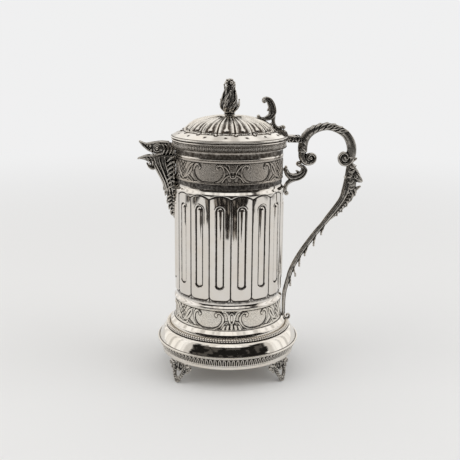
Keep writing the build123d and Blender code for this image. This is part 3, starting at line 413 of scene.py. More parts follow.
def frieze(name, bottom, top, radii, drawn_strokes, columns):
    """A relief band: three repeats of a drawn field of 120 degrees each, rolled into a ring. Its radii are
    those of the ground, the raised face and the back."""
    tall, rows, first_turn = top - bottom, 58, -58.7
    ground_radius, face_radius, back_radius = radii
    width = 2 * math.pi * face_radius / 3
    across, upward = np.meshgrid((np.arange(columns) + 0.5) / columns * width - width / 2,
        np.linspace(0, tall, rows), indexing="ij")
    field = np.zeros_like(across)
    for stroke in drawn_strokes:
        press(field, across, upward, tall, *stroke)
    from_spray = abs(abs(across) - width / 2)
    for stroke in spray_strokes:
        press(field, from_spray, upward, tall, *stroke)
    drawn = np.tile(field, (3, 1))
    level = np.linspace(0, tall, rows)
    edge = unit(1.7 - np.minimum(level, tall - level)) ** 0.5
    drawn = np.maximum(drawn, edge[None, :])
    # Painted shade round every raised stroke, from how far the blurred field stands over it, with light oxide
    # in the stippled ground.
    hollow = unit((soft(drawn, 10) - drawn) * 3.0) + 0.12 * (drawn < 0.05)
    ground = (drawn < 0.12).astype(float)
    radius = ground_radius + (face_radius - ground_radius) * unit(soft(drawn, 1))
    radius = np.pad(radius, ((0, 0), (1, 1)), constant_values=back_radius)
    height = np.concatenate([[bottom], bottom + level, [top]])[None, :]
    turn = np.radians(first_turn + np.arange(len(radius)) * 360 / len(radius))[:, None]
    hole = pour_hole(radius, height, turn)
    hole[:, -1] = ((abs(radius * np.cos(turn)) < 6.5) & (np.sin(turn) < 0) & (bottom > 180))[:, -1]
    marks = {"hollow": np.pad(hollow, ((0, 0), (1, 1))), "ground": np.pad(ground, ((0, 0), (1, 1)))}
    return turned(name, radius, height, marks, first_turn, hole)


def scroll_strokes(inner, outer):
    """The C-scrolls at both sides of a cartouche, with their rolled tops, and their feet along the edge."""
    strokes = []
    for near, sign in ((inner, 1), (outer, -1)):
        strokes.append(
            ([(near + reach * sign, share)
                for reach, share in ((9.5, 0.06), (4.5, 0.16), (1.0, 0.38), (0.3, 0.6), (2.2, 0.79),
                (5.4, 0.83), (7.4, 0.73), (6.4, 0.66))], [0.5, 0.75, 0.9, 0.95, 0.95, 0.9, 0.95, 0.8],
                0.95))
        strokes.append(([(near + 6.9 * sign, 0.715), (near + 7.0 * sign, 0.72)], [1.25, 1.25], 1.0))
    return strokes


# The larger spray: long arms, short curled leaves at its foot, and drops up the middle.
spray_strokes = [([(0.5, 0.14), (5.5, 0.38), (9.6, 0.68), (14.6, 0.86)], [0.7, 1.3, 1.2, 0.5], 0.95),
    ([(3.5, 0.2), (8.6, 0.36), (12.4, 0.6), (13.6, 0.8)], [0.6, 1.2, 0.9, 0.4], 0.75),
    ([(1.0, 0.08), (5.4, 0.08), (7.4, 0.2), (5.6, 0.3)], [0.5, 0.9, 1.0, 0.8], 0.95),
    ([(8.4, 0.3), (14.6, 0.09)], [0.9, 0.8], 1.0), ([(8.0, 0.13), (11.6, 0.07)], [0.7, 0.6], 0.8)]
for reach, level, size in ((0, 0.84, 1.3), (2.6, 0.72, 1.1), (0, 0.62, 1.1), (2.4, 0.52, 1.0),
        (4.6, 0.84, 0.9), (0, 0.42, 1.1), (2.0, 0.33, 0.9)):
    spray_strokes.append(([(reach, level), (reach + 0.3, level + 0.03)], [size, size * 0.8], 1.0, reach > 0))

# The lower band's smaller motif: a bell over a fan of rounded lobes.
lower_strokes = scroll_strokes(7.6, 37.6) + [([(0, 0.84), (1.9, 0.74), (2.1, 0.52), (1.3, 0.36), (0, 0.32)],
        [0.5, 0.7, 0.8, 0.8, 0.7], 0.9), ([(0, 0.72), (0, 0.5)], [0.9, 1.2], 1.0, False),
    ([(8.6, 0.9), (5.4, 0.88), (3.4, 0.74), (2.9, 0.5)], [0.5, 0.9, 0.9, 0.4], 0.8)]
for reach, low, high in ((0, 0.05, 0.26), (3.7, 0.06, 0.25), (7.2, 0.06, 0.22)):
    lower_strokes.append(([(reach * 1.12, low), (reach * 0.92, high)], [1.35, 1.0], 1.0, reach > 0))
lower_strokes.append(([(10.4, 0.05), (6.6, 0.36), (3.4, 0.42)], [0.4, 0.7, 0.5], 0.7))
relief_low = silver_finish("relief_silver", (0.80, 0.76, 0.69), (0.035, 0.03, 0.026), 0.2, 0.1,
    stipple=0.00012)
piece = frieze("relief_band_lower", 53.0, 73.0, (50.75, 51.48, 49.45), lower_strokes, 308)
finish_piece(piece, "jug", relief_low, "stippled_silver", "lower_frieze")

# The upper band's smaller motif: crossed arms with a small cup at their knot and pods below.
upper_strokes = scroll_strokes(7.2, 38.0) + [([(11.4, 0.86), (6.8, 0.78), (3.4, 0.58), (2.6, 0.44)],
        [0.5, 0.9, 0.9, 0.5], 0.85), ([(2.4, 0.46), (1.8, 0.33), (0, 0.29)], [0.7, 0.8, 0.8], 1.0),
    ([(0, 0.38), (0, 0.42)], [0.8, 0.7], 0.8, False),
    ([(2.8, 0.42), (7.2, 0.3), (10.6, 0.08), (14.5, 0.04)], [0.6, 0.8, 0.7, 0.4], 0.85)]
upper_strokes += [([(reach, 0.07), (reach * 0.94, 0.2)], [1.3, 0.8], 1.0, reach > 0) for reach in (0, 6.2)]
upper_strokes += [([(reach * 0.5, 0.56), (reach, 0.86)], [0.4, 0.8], 0.75, reach > 0)
    for reach in (0, 1.8, 3.6)]
# The upper band is the same stippled relief silver as the lower, painted in a darker tone as shade.
relief_high_shaded = silver_finish("relief_silver_painted_dark", (0.48, 0.44, 0.395), (0.025, 0.021, 0.018), 0.22, 0.1,
    stipple=0.00012)
piece = frieze("relief_band_upper", frieze_foot, 208.7, (49.9, 50.58, 49.45), upper_strokes, 304)
finish_piece(piece, "jug", relief_high_shaded, "stippled_silver", "upper_frieze")


# Rim: a spun hoop with a plain hollow band and, over it, a band milled with close upright notches. It is
# soldered round the mouth of the wall.
out, level = outline_rows([(49.45, 209.3), (50.35, 209.3), (50.55, 209.8), (50.3, 210.4), (50.15, 211),
    (50.15, 214.4), (50.5, 215.5), (51.6, 216.2), (53.1, 216.5), (53.45, 216.9), (53.2, 217.3),
    (53.25, 222.2), (53.85, 222.6), (53.9, 223.1), (53.7, 223.6), (53.2, 223.9), (49.45, 223.9)], 0.45).T
notches, per_notch, milling_foot, milling_top = 190, 7, 217.2, 222.3
wave = abs(np.sin(np.arange(notches * per_notch) * math.pi / per_notch))[:, None]
in_milling = (level > milling_foot) & (level < milling_top) & (out > 53)
dots = 0.75 + 0.25 * np.cos((level - milling_foot) * 2 * math.pi / 1.02)
cut = in_milling * (1 - unit(wave * 1.25) * dots)
# Painted shade: the plain hollow band is painted dark as a reflection, and dark lines are painted at the foot
# and the top of the milling; the notches hold oxide and painted shade.
shade_lines = 0.6 * (abs(level - 212.8) < 2.4)
shade_lines = shade_lines + 0.7 * (abs(level - milling_foot) < 0.3) + 0.7 * (abs(level - 222.4) < 0.25)
rim_silver = silver_finish("rim_silver", (0.80, 0.755, 0.695), (0.06, 0.048, 0.038), 0.06, 0.1)
piece = turned("rim_milled", out - 0.75 * cut, level, {"hollow": unit(cut * 0.62 + shade_lines)})
finish_piece(piece, "jug", rim_silver, "polished_silver", "rim_moulding")


# Plinth: a spun foot, with a cove over a shelf, a sloping round and a groove above its widest edge. A wire
# of small slanted beads lies on the shelf, soldered down.
out, level = outline_rows([(49.5, 53), (51.9, 53), (52.4, 52.6), (55.3, 49.5), (55.6, 48.2), (55.9, 46.6),
    (56, 43.7), (59, 43.6), (60, 43.2), (61, 42.3), (62.2, 40.7), (63.3, 38.9), (64.4, 36.8), (65.4, 34.7),
    (66.1, 32.9), (66.4, 32.4), (66.9, 32.4), (67.4, 32.7), (67.95, 32.6), (68.25, 32.2), (68.2, 31.6),
    (67.8, 31.2), (65.7, 31.2), (61.2, 32.4), (59.6, 38.6), (57.2, 41.7), (54.2, 41.7), (54.2, 45.3),
    (49.5, 47.1), (49.5, 53)], 0.55)[:-1].T
# Oxide and painted shade: dark in the groove above the widest edge, in the recess under and behind the beads,
# and at the cove's foot.
groove_oxide_and_shade = sum(hump(np.hypot(out - x, level - z), wide)
    for x, z, wide in ((66.5, 32.4, 0.55), (56, 44.6, 2), (51.9, 53, 0.6), (59.1, 43.5, 0.8)))
piece = turned("plinth_shell", np.tile(out, (480, 1)), level, {"hollow": unit(groove_oxide_and_shade) * 0.9})
finish_piece(piece, "jug", polished, "polished_silver", "plinth_moulding")
beads, per_bead, wire_sides = 150, 14, 16
turn = np.linspace(0, 2 * math.pi, wire_sides, endpoint=False)
swell = np.arange(beads * per_bead)[:, None] * math.pi / per_bead + 0.5 * np.sin(turn - 0.8)
swell = 0.75 + 1.1 * np.sqrt(abs(np.sin(swell)))
piece = turned("beaded_wire", 57.8 + swell * np.cos(turn), 45.2 + swell * np.sin(turn),
    {"hollow": unit((1.6 - swell) * 2.2)})
finish_piece(piece, "jug", rim_silver, "polished_silver", "bead_wire")


# Leaf border: a band stamped with a row of upright tongue-shaped leaves above a plain bright lip. It
# closes the plinth from below.
out, level = outline_rows([(61.5, 31.2), (67.95, 31.2), (68.1, 31), (67.9, 30.5), (64.2, 23.6),
    (63.9, 23.1), (63.9, 20), (63.5, 19.7), (62.2, 19.7)], 0.33).T
tongues, per_tongue = 100, 14
lane = ((np.arange(tongues * per_tongue) % per_tongue) / per_tongue * 2 - 1)[:, None]
rise = unit((level - 23) / 7.8)
on_face = (level > 23) & (level < 30.9) & (out > 63)
leaf_edge = 0.52 * np.sqrt(unit(1 - unit((rise - 0.45) / 0.47) ** 2))
crown = np.hypot(np.clip(abs(lane) - leaf_edge, 0, 9), unit(rise - 0.9) * 2.4)
outline = hump(np.where(abs(lane) > leaf_edge, crown, leaf_edge - abs(lane)), 0.2)
field = unit(np.maximum(outline, hump(rise - 0.04, 0.05))) * on_face
border_silver = silver_finish("border_silver", (0.77, 0.73, 0.67), (0.022, 0.018, 0.015), 0.1, 0.1)
# The ground inside and between the leaf outlines is painted dark: oxide with painted shade.
piece = turned("leaf_band", out + np.where(on_face, 0.72 * field - 0.85, 0), level,
    {"hollow": on_face * unit(1.15 - field * 1.6)})
finish_piece(piece, "jug", border_silver, "stippled_silver", "leaf_border")


# Lid: raised from one sheet. Sixteen lobes run down from the collar, each a rim round a hollow spoon
# with a rib that ends in a drop; small balls lie between their ends, over a flange with a rolled edge.
lobes, per_lobe = 16, 40
meridian = curve_through([(4.6, 244.75), (15.1, 244.15), (30.2, 240.6), (36.6, 237.2), (39.8, 234.3),
    (41.9, 231.9)], 92)
skirt = outline_rows([(42.6, 230.95), (45, 230.75), (49.4, 228.6), (53.3, 226.7), (53.6, 226.45),
    (54.15, 226.1), (54.3, 225.35), (54.1, 224.7), (53.6, 224.3), (52.6, 224.25), (48, 224.3)], 0.55)
under = outline_rows([(46.1, 225.6), (41.3, 229.4), (38.4, 233), (29.8, 239), (15.2, 242.6), (4.6, 243.25)],
    4)
line = np.vstack([meridian, skirt, under])
reach = np.linspace(0, 1, len(meridian))
lane = (((np.arange(lobes * per_lobe) + 0.5) % per_lobe) / per_lobe * 2 - 1)[:, None]
side_fall = 0.96 * np.sqrt(unit(1 - (unit((reach - 0.86) / 0.14)) ** 2.2))
rim_ridge = hump(abs(lane) - side_fall * 0.84, 0.1) * np.clip(reach * 3.2, 0.25, 1)
spoon = unit(1 - (abs(lane) / (side_fall * 0.8 + 1e-6)) ** 4) * unit(reach * 2.4)
rib = hump(lane, 0.11 + 0.13 * hump(reach - 0.72, 0.09))
rib *= unit((reach - 0.1) * 5) * unit((0.86 - reach) * 14)
crescent = hump(reach - 0.955, 0.03) * unit(1 - (lane / 0.75) ** 4)
valley = hump(1 - abs(lane), 0.09)
lift = 0.9 * rim_ridge - 0.9 * spoon + 1.25 * rib + 0.8 * crescent - 1.1 * valley * np.clip(reach * 2, 0.2, 1)
lift *= np.clip(reach * 6, 0.15, 1)
slope = np.gradient(meridian, axis=0)
slope /= np.linalg.norm(slope, axis=1)[:, None]
radius = np.tile(line[:, 0], (lobes * per_lobe, 1))
height = np.tile(line[:, 1], (lobes * per_lobe, 1))
dome = slice(0, len(meridian))
radius[:, dome] -= lift * slope[:, 1]
height[:, dome] += lift * slope[:, 0] - 0.35
shade = np.zeros_like(radius)
channel = spoon * unit(1 - 1.25 * rib) * unit(1 - 1.6 * crescent)
# Painted shade, with oxide: dark in the spoons beside the ribs and round the drops, and along the valleys
# between the lobes.
shade[:, dome] = unit(channel * (0.42 + 0.5 * reach) + valley * 0.95)
out, level = skirt.T
flange = slice(len(meridian), len(meridian) + len(skirt))
ball_gap = np.hypot((1 - abs(lane)) * math.pi / lobes * 44.6, out - 44.6)
small_ball = np.sqrt(unit(1 - (ball_gap / 1.35) ** 2))
pendant = hump(lane, 0.17) * hump(out - 48.6, 1.3)
on_top = level > 227
height[:, flange] += on_top * (1.15 * small_ball + 0.25 * pendant)
# Painted shade: dark lines just above the rolled edge and under it where the lid meets the rim, dark rings
# round the small balls and at the lobes' ends, and dark pendants.
edge_shade_lines = 0.85 * (abs(level - 226.55) < 0.25) + 0.85 * (level < 224.8)
beside = (abs(ball_gap - 1.7) < 0.6) * 0.9 + 0.9 * hump(out - 43, 1.1) * (1 - small_ball)
shade[:, flange] = np.maximum(on_top * unit(beside + pendant), edge_shade_lines)
lid_turn = 4.75
lid_silver = silver_finish("lid_silver", (0.80, 0.765, 0.71), (0.07, 0.055, 0.044), 0.05, 0.1)
piece = turned("lid_lobed", radius, height, {"hollow": shade}, lid_turn)
finish_piece(piece, "lid", lid_silver, "polished_silver", "lid_shell")
dress("lid_bezel", inside)


# Finial: a cast bud of overlapping leaves with a knobbly tip, over a small turned collar, screwed on to
# the top of the lid.
def run_through(knots, count):
    """The points of a smooth line and its direction at each; knots of two values, a distance from the
    axis and a height, lie in the jug's middle plane."""
    line = curve_through(knots, count)
    if line.shape[1] == 2:
        line = np.insert(line, 1, 0, axis=1)
    along = np.gradient(line, axis=0)
    return line, along / np.linalg.norm(along, axis=1)[:, None]


def end_faces(index, beyond, first, last):
    """The faces that close the two ends of a shape made of rings."""
    return ([[b, a, first] for a, b in zip(index[0], beyond[0])]
        + [[a, b, last] for a, b in zip(index[-1], beyond[-1])])


def sweep(knots, sizes, face=(0, 1, 0), sides=22, count=60, ribs=0, rib_depth=0, strokes=0, stroke_depth=0,
        slant=0):
    """A closed bar along a smooth line. Sizes are (half across, half along face), or one number for both,
    at even shares; ribs run along it and strokes are slanted cuts round it."""
    line, along = run_through(knots, count)
    face = face - along * (along @ np.array(face, float))[:, None]
    face /= np.linalg.norm(face, axis=1)[:, None]
    flat = np.cross(along, face)
    sizes = np.array([np.broadcast_to(size, 2) for size in sizes], float)
    share = np.linspace(0, 1, count)
    given = np.linspace(0, 1, len(sizes))
    half_a = np.interp(share, given, sizes[:, 0])[:, None]
    half_b = np.interp(share, given, sizes[:, 1])[:, None]
    turn = (np.arange(sides) * 2 * math.pi / sides)[None, :]
    grow = np.ones((count, sides))
    if ribs:
        grow = grow - rib_depth * (0.5 - 0.5 * np.cos(ribs * turn))
    if strokes:
        phase = (strokes * share[:, None] + slant * abs(np.sin(turn / 2))) % 1
        grow = grow - stroke_depth * unit(1 - phase * 2.4)
    ring = (line[:, None, :] + flat[:, None, :] * (half_a * np.cos(turn) * grow)[..., None]
        + face[:, None, :] * (half_b * np.sin(turn) * grow)[..., None])
    tips = np.array([line[0] - along[0] * sizes[0].min() * 0.6, line[-1] + along[-1] * sizes[-1].min() * 0.6])
    points = np.vstack([ring.reshape(-1, 3), tips])
    index = np.arange(count * sides).reshape(count, sides)
    beyond = np.roll(index, -1, 1)
    faces = np.stack([index[:-1], beyond[:-1], beyond[1:], index[1:]], -1).reshape(-1, 4).tolist()
    return points, faces + end_faces(index, beyond, count * sides, count * sides + 1)


def ball(centre, radius, squash=(1, 1, 1), rings=14):
    """A closed ball, squashed along the three axes if wanted."""
    turn = np.arange(2 * rings) * math.pi / rings
    tilt = (np.arange(1, rings) / rings - 0.5) * math.pi
    grid = np.stack([np.cos(tilt)[:, None] * np.cos(turn), np.cos(tilt)[:, None] * np.sin(turn),
        np.broadcast_to(np.sin(tilt)[:, None], (rings - 1, 2 * rings))], -1).reshape(-1, 3)
    points = np.vstack([grid, [(0, 0, -1), (0, 0, 1)]]) * radius * np.asarray(squash) + np.asarray(centre)
    index = np.arange((rings - 1) * 2 * rings).reshape(rings - 1, 2 * rings)
    beyond = np.roll(index, -1, 1)
    faces = np.stack([index[:-1], beyond[:-1], beyond[1:], index[1:]], -1).reshape(-1, 4).tolist()
    return points, faces + end_faces(index, beyond, len(points) - 2, len(points) - 1)


def both_sides(*shapes):
    """The shapes and their mirror images across the jug's middle plane."""
    result = []
    for points, faces in shapes:
        result += [(points, faces), (points * (1, -1, 1), [face[::-1] for face in faces])]
    return result


def read_rows(items, field, width, kind=float):
    """One field of all of a mesh's items, as rows of numbers."""
    values = np.empty(len(items) * width, kind)
    items.foreach_get(field, values)
    return values.reshape(-1, width)


def solid_of(node_name):
    """A copy of a CAD node's own shape, in millimetres from the body's axis."""
    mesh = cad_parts[node_name].data
    points = read_rows(mesh.vertices, "co", 3) * 1000
    points[:, 0] -= axis_x * 1000
    return points, [list(polygon.vertices) for polygon in mesh.polygons]


def cast(name, shapes, grain, smoothing=2, dark=0.53):
    """Runs overlapping closed shapes together into one cast piece, and marks its hollows: how far it
    lies under its own blurred shape, from dark on level ground to one at the full depth."""
    blur_rounds, full_depth = 14, 0.32
    points, faces, base = [], [], 0
    for shape_points, shape_faces in shapes:
        points.append(shape_points)
        faces += [[base + k for k in face] for face in shape_faces]
        base += len(shape_points)
    rough = bpy.data.meshes.new(name + "_rough")
    rough.from_pydata(mm(np.vstack(points)).tolist(), [], faces)
    lump = new_object(name + "_rough", rough)
    remesh = lump.modifiers.new("run_together", "REMESH")
    remesh.mode = "VOXEL"
    remesh.voxel_size = grain / 1000
    remesh.adaptivity = 0
    smooth = lump.modifiers.new("soften", "SMOOTH")
    smooth.factor = 0.5
    smooth.iterations = smoothing
    mesh = bpy.data.meshes.new_from_object(lump.evaluated_get(bpy.context.evaluated_depsgraph_get()))
    bpy.data.objects.remove(lump)
    mesh.name = name
    count = len(mesh.vertices)
    place = read_rows(mesh.vertices, "co", 3) * 1000
    normal = read_rows(mesh.vertex_normals, "vector", 3, np.float32)
    a, b = read_rows(mesh.edges, "vertices", 2, np.int32).T
    near = np.bincount(np.concatenate([a, b]), minlength=count)[:, None]
    blurred = place.copy()
    for _ in range(blur_rounds):
        total = np.stack([np.bincount(a, blurred[b, k], count) + np.bincount(b, blurred[a, k], count)
            for k in range(3)], 1)
        blurred = (blurred + total / near) / 2
    inward = ((blurred - place) * normal).sum(1)
    hollow = unit(dark + inward / full_depth)
    mark = mesh.attributes.new("hollow", "FLOAT", "POINT")
    mark.data.foreach_set("value", hollow.astype(np.float32))
    mesh.polygons.foreach_set("use_smooth", np.ones(len(mesh.polygons), bool))
    return new_object(name, mesh)


def finish_cast(name, node, shapes, grain=0.3, dark=0.53, body="jug"):
    """Casts a piece of aged silver and puts it in place of a CAD node."""
    finish_piece(cast(name, shapes, grain, dark=dark), body, aged, "oxidised_silver", node)


aged = silver_finish("aged_cast_silver", (0.57, 0.54, 0.495), (0.016, 0.015, 0.014), 0.12, 0.1, cloud=120)
shapes = [sweep([(0, z) for z in (247.6, 252, 257, 262, 266, 270, 275)], [3.9, 6.6, 7.2, 5.4, 4, 3.6, 2.4],
    sides=28)]
for ring, (number, low, high, low_r, mid_r, high_r, wide) in enumerate(((7, 247.8, 259, 4.8, 8.7, 8.9, 2.6),
        (5, 252.5, 267, 7, 7.6, 5.4, 2.7), (5, 262, 272.5, 5, 4.5, 5.2, 2.1))):
    for k in range(number):
        start = 2 * math.pi * (k + 0.5 * ring) / number
        knots = []
        for share in np.linspace(0, 1, 6):
            turn = start + 0.7 * share
            size = low_r + (mid_r - low_r) * math.sin(min(share * 1.6, 1) * math.pi / 2)
            size += (high_r - mid_r) * share ** 2
            knots.append((size * math.sin(turn), -size * math.cos(turn), low + (high - low) * share))
        middle = start + 0.35
        shapes.append(sweep(knots,
            [(0.8, 0.6), (wide * 0.8, 0.9), (wide * 0.85, 0.9), (wide * 0.55, 0.9), (0.6, 0.8)],
            face=(math.sin(middle), -math.cos(middle), 0), ribs=6, rib_depth=0.3, sides=30, count=50))
        shapes.append(ball(knots[-1], 0.85))
for k in range(5):
    turn = 2 * math.pi * (k + 0.3) / 5
    shapes.append(ball((3.6 * math.sin(turn), -3.6 * math.cos(turn), 274.2), 1.7))
    shapes.append(ball((2.5 * math.sin(turn + 0.6), -2.5 * math.cos(turn + 0.6), 276.6), 1.3))
shapes.append(ball((0, 0, 277.2), 1.3, (1, 1, 0.9)))
shapes += [ball((4.6 * math.sin(t), -4.6 * math.cos(t), 248.2), 1.25)
    for t in np.arange(8) * math.pi / 4 + 0.3]
finish_cast("finial_leaves", "finial_bud", shapes, 0.32, body="lid")
out, level = outline_rows([(0.6, 244.9), (4.7, 244.9), (5.3, 245.5), (5.2, 246.1), (4, 246.5), (4.5, 247),
    (4.9, 247.5), (4.2, 248.2), (0.6, 248.2)], 0.3).T
nicks = abs(np.sin(np.arange(96) * math.pi / 8))[:, None] * (abs(level - 247.3) < 0.7)
piece = turned("finial_ring", out + 0.35 * nicks, level, {"hollow": 0.25 + 0.5 * (abs(level - 246.4) < 0.5)})
finish_piece(piece, "lid", aged, "oxidised_silver", "finial_collar")


# Thumbpiece: a cast C-scroll on the lid's hinge leaf, grooved along its back, curled at both ends, with a
# short leg that has a knob behind and a small leaf at its foot. The lid's leaf and pin keep their solids.
scroll = [(31.6, 257.2), (31.2, 259.2), (33.6, 260), (36.2, 258.6), (38.2, 255.4), (39.5, 251.2),
    (39.6, 247.2), (37.6, 243.6), (33.8, 241.9), (29.8, 241.8), (26.9, 243.4), (26.8, 244.6)]
scroll_sizes = [(1.4, 2.2), (1.6, 2.4), (2, 2.7), (2.6, 2.9), (3.1, 3), (3.3, 3), (3.2, 3), (2.7, 2.8),
    (2, 2.6), (1.4, 2.3), (1.3, 2), (1, 1.7)]
shapes = [sweep(scroll, scroll_sizes, count=110, sides=40)]
across_back = ((0.35, 0.94), (0.66, 0.75), (0.9, 0.44), (0.99, 0.1), (0.96, -0.28), (0.6, -0.8), (0.2, -0.98))
for shift in (-0.78, 0.78):
    edge = [(x + shift * half * dx, 2.5, z + shift * half * dz)
        for (x, z), (half, _), (dx, dz) in zip(scroll[2:9], scroll_sizes[2:9], across_back)]
    shapes += both_sides(sweep(edge, [0.5, (0.85, 0.8), (0.95, 0.9), (0.85, 0.8), (0.45, 0.5)], count=70,
        sides=14))
shapes += both_sides(ball((31.8, 2, 257.9), 2), ball((26.9, 1.4, 243.8), 1.7))
shapes.append(sweep([(38.6, 251.6), (36.2, 250.6), (34.9, 248.9)], [(1.5, 2.4), (1.2, 2.1), (0.7, 1.5)]))
shapes.append(sweep([(40.6, 244.5), (40.6, 240.5), (41.2, 237), (43, 233.8), (45.6, 231.8), (48.4, 230.9)],
    [(2.2, 2.8), (1.8, 2.7), (1.7, 2.6), (2, 2.7), (2.3, 3), (2.1, 3.1)], count=70, sides=28, ribs=7,
    rib_depth=0.14))
shapes.append(sweep([(44.6, 232.6), (47.4, 233.4), (49.8, 234.4), (51, 233.6), (50.2, 232.4)],
    [(1.8, 2.8), (1.8, 2.7), (1.6, 2.4), (1.3, 2), (0.8, 1.5)], strokes=5, stroke_depth=0.2))
shapes += both_sides(sweep([(40.4, 1.2, 238.2), (38.6, 2.2, 236.2), (37.4, 2.8, 234.4)],
    [(0.9, 0.7), (1.3, 0.8), 0.5], strokes=4, stroke_depth=0.25))
shapes.append(sweep([(46.2, 231), (49, 231.1), (52, 230.9)], [(0.35, 2.4), (0.5, 3.4), (0.35, 2.2)]))
finish_cast("thumb_scroll", "thumbpiece", shapes, 0.28, body="lid")
worn = silver_finish("worn_cast_silver", (0.70, 0.66, 0.60), (0.05, 0.045, 0.04), 0.18, 0.16, cloud=120,
    reads_patina_and_shade=False)
dress("lid_hinge", worn)
dress("hinge_pin", polished)


# Hinge block: the fixed half of the hinge, a cast link between the rim and the big scroll. Its two leafy
# cheeks stand outside the lid's knuckles, and its middle knuckle holds the pin.
def slab(low, high):
    """A closed block between two corners."""
    points = np.array([[x, y, z] for z in (low[2], high[2]) for y in (low[1], high[1])
        for x in (low[0], high[0])], float)
    return points, [[0, 2, 3, 1], [4, 5, 7, 6], [0, 1, 5, 4], [2, 6, 7, 3], [0, 4, 6, 2], [1, 3, 7, 5]]


shapes = [slab((60.5, -2.1, 220.6), (66.4, 2.1, 224.2)),
    sweep([(60.5, -2.1, 223.2), (60.5, 2.1, 223.2)], [2.9, 2.9], face=(0, 0, 1)),
    slab((63.9, -8.2, 220.6), (66.8, 8.2, 225.8))]
shapes += both_sides(slab((57, 7.1, 220.5), (66.4, 8.3, 226)), slab((53.4, 7.1, 220.6), (57.4, 8.3, 223.6)))
for x, lean in ((55.2, -1), (58.6, 1), (61.2, -1), (63.8, 1)):
    top = 223.2 if x < 57 else 225.4
    shapes += both_sides(
        sweep([(x - 1.1 * lean, 8.3, 221), (x + 0.2 * lean, 8.7, (221 + top) / 2),
            (x + 1.2 * lean, 8.3, top)], [(0.5, 0.4), (0.85, 0.55), (0.5, 0.4)], count=24, sides=12))
finish_cast("hinge_block", "hinge_bracket", shapes, 0.28, dark=0.7)


# Handle: one big cast scroll. Slanted acanthus leaves climb its left side and top, the right side is
# plainer, and both ends roll up into volutes. A smaller C-scroll under it carries it on the neck.
arch_line = [(68.7, 211), (68.9, 217.3), (70.3, 223), (73.3, 227.6), (78, 231.1), (83.5, 233.3),
    (90, 234.5), (96.8, 233.8), (103, 231.4), (108.6, 227.7), (112.7, 222.2), (114.8, 216.2), (115.1, 210),
    (114.4, 205.6)]
shapes = [sweep(arch_line,
    [(4.5, 3.9), (4.5, 4.1), (4.5, 4.3), (4.4, 4.3), (4, 4.2), (3.6, 4), (3.4, 3.8), (3.4, 3.7), (3.6, 3.8),
        (3.8, 3.9), (4.3, 4.1), (4.5, 4.1), (4.5, 3.9), (4.2, 3.7)], count=150, sides=36)]
across_arch = ((0.3, 0.95), (0.48, 0.88), (0.66, 0.75), (0.87, 0.5), (0.98, 0.2), (1, -0.05), (0.98, -0.18))
for shift in (-0.86 * 3.6, 0.86 * 3.6):
    edge = [(x + shift * dx, 1.9, z + shift * dz) for (x, z), (dx, dz) in zip(arch_line[7:], across_arch)]
    shapes += both_sides(sweep(edge, [0.3, 0.75, 0.85, 0.8, 0.5], count=80, sides=14))
line, way = run_through(arch_line, 200)
out = np.cross(way, (0, 1, 0))
out *= np.sign((out * (line - np.array([91, 0, 212]))).sum(1))[:, None]


def on_arch(share, outward, sideways):
    """A place by the arch's middle line: a share of its length, outward from it, and to the side."""
    k = int(unit(share) * 199)
    return tuple(line[k] + out[k] * outward + np.array([0, sideways, 0]))


for k in range(9):
    at = 0.03 + 0.072 * k
    tall = 4.1 - 0.07 * k
    for tilt, reach in ((0, 1), (0.022, 0.9)):
        shapes += both_sides(
            sweep([on_arch(at - 0.02 + tilt, -2.6, 2.9), on_arch(at + 0.01 + tilt, -0.6, 3.9),
                on_arch(at + 0.045 + tilt, 1.8, 3.3), on_arch(at + 0.085 + tilt, tall * reach, 1.3)],
                [(0.5, 0.45), (0.95, 0.6), (0.95, 0.6), (0.45, 0.4)], count=30, sides=14))
    shapes.append(ball(on_arch(at + 0.09, tall + 0.1, 0), 0.75, (1, 1.6, 1)))
left_roll = [(68.6, 212), (68.4, 206.4), (70.6, 201.9), (75.2, 200.1), (79.6, 202), (80.6, 206.4),
    (77.6, 208.9), (74.6, 207.2), (75.2, 204.6)]
shapes.append(sweep(left_roll,
    [(3.7, 3.6), (3.4, 3.7), (2.9, 3.7), (2.3, 3.6), (2, 3.6), (1.7, 3.6), (1.4, 3.6), (1.2, 3.6),
        (1, 3.4)], count=110, sides=30, ribs=6, rib_depth=0.1))
right_roll = [(114.9, 208), (115, 203.6), (112.3, 199.9), (107.6, 199.2), (104.2, 202.2), (103.9, 207),
    (107.2, 210), (111, 208.6), (111.6, 205.2), (109.4, 203.6)]
shapes.append(sweep(right_roll,
    [(3.9, 3.7), (3, 3.7), (2.2, 3.6), (1.8, 3.6), (1.6, 3.6), (1.5, 3.6), (1.4, 3.6), (1.3, 3.6),
        (1.1, 3.5), (0.9, 3.4)], count=120, sides=30, ribs=6, rib_depth=0.1))
shapes += [ball((76.8, 0, 205), 2.2, (1, 1.85, 1)), ball((109, 0, 205.2), 1.9, (1, 2.05, 1)),
    ball((75.6, 0, 205), 5.2, (1, 0.56, 1)), ball((109.2, 0, 205), 5, (1, 0.56, 1))]
shapes += both_sides(ball((72.2, 3.2, 201.9), 0.85), ball((76.2, 3.2, 200.6), 0.85))
finish_cast("handle_arch", "handle_grip", shapes, 0.34)

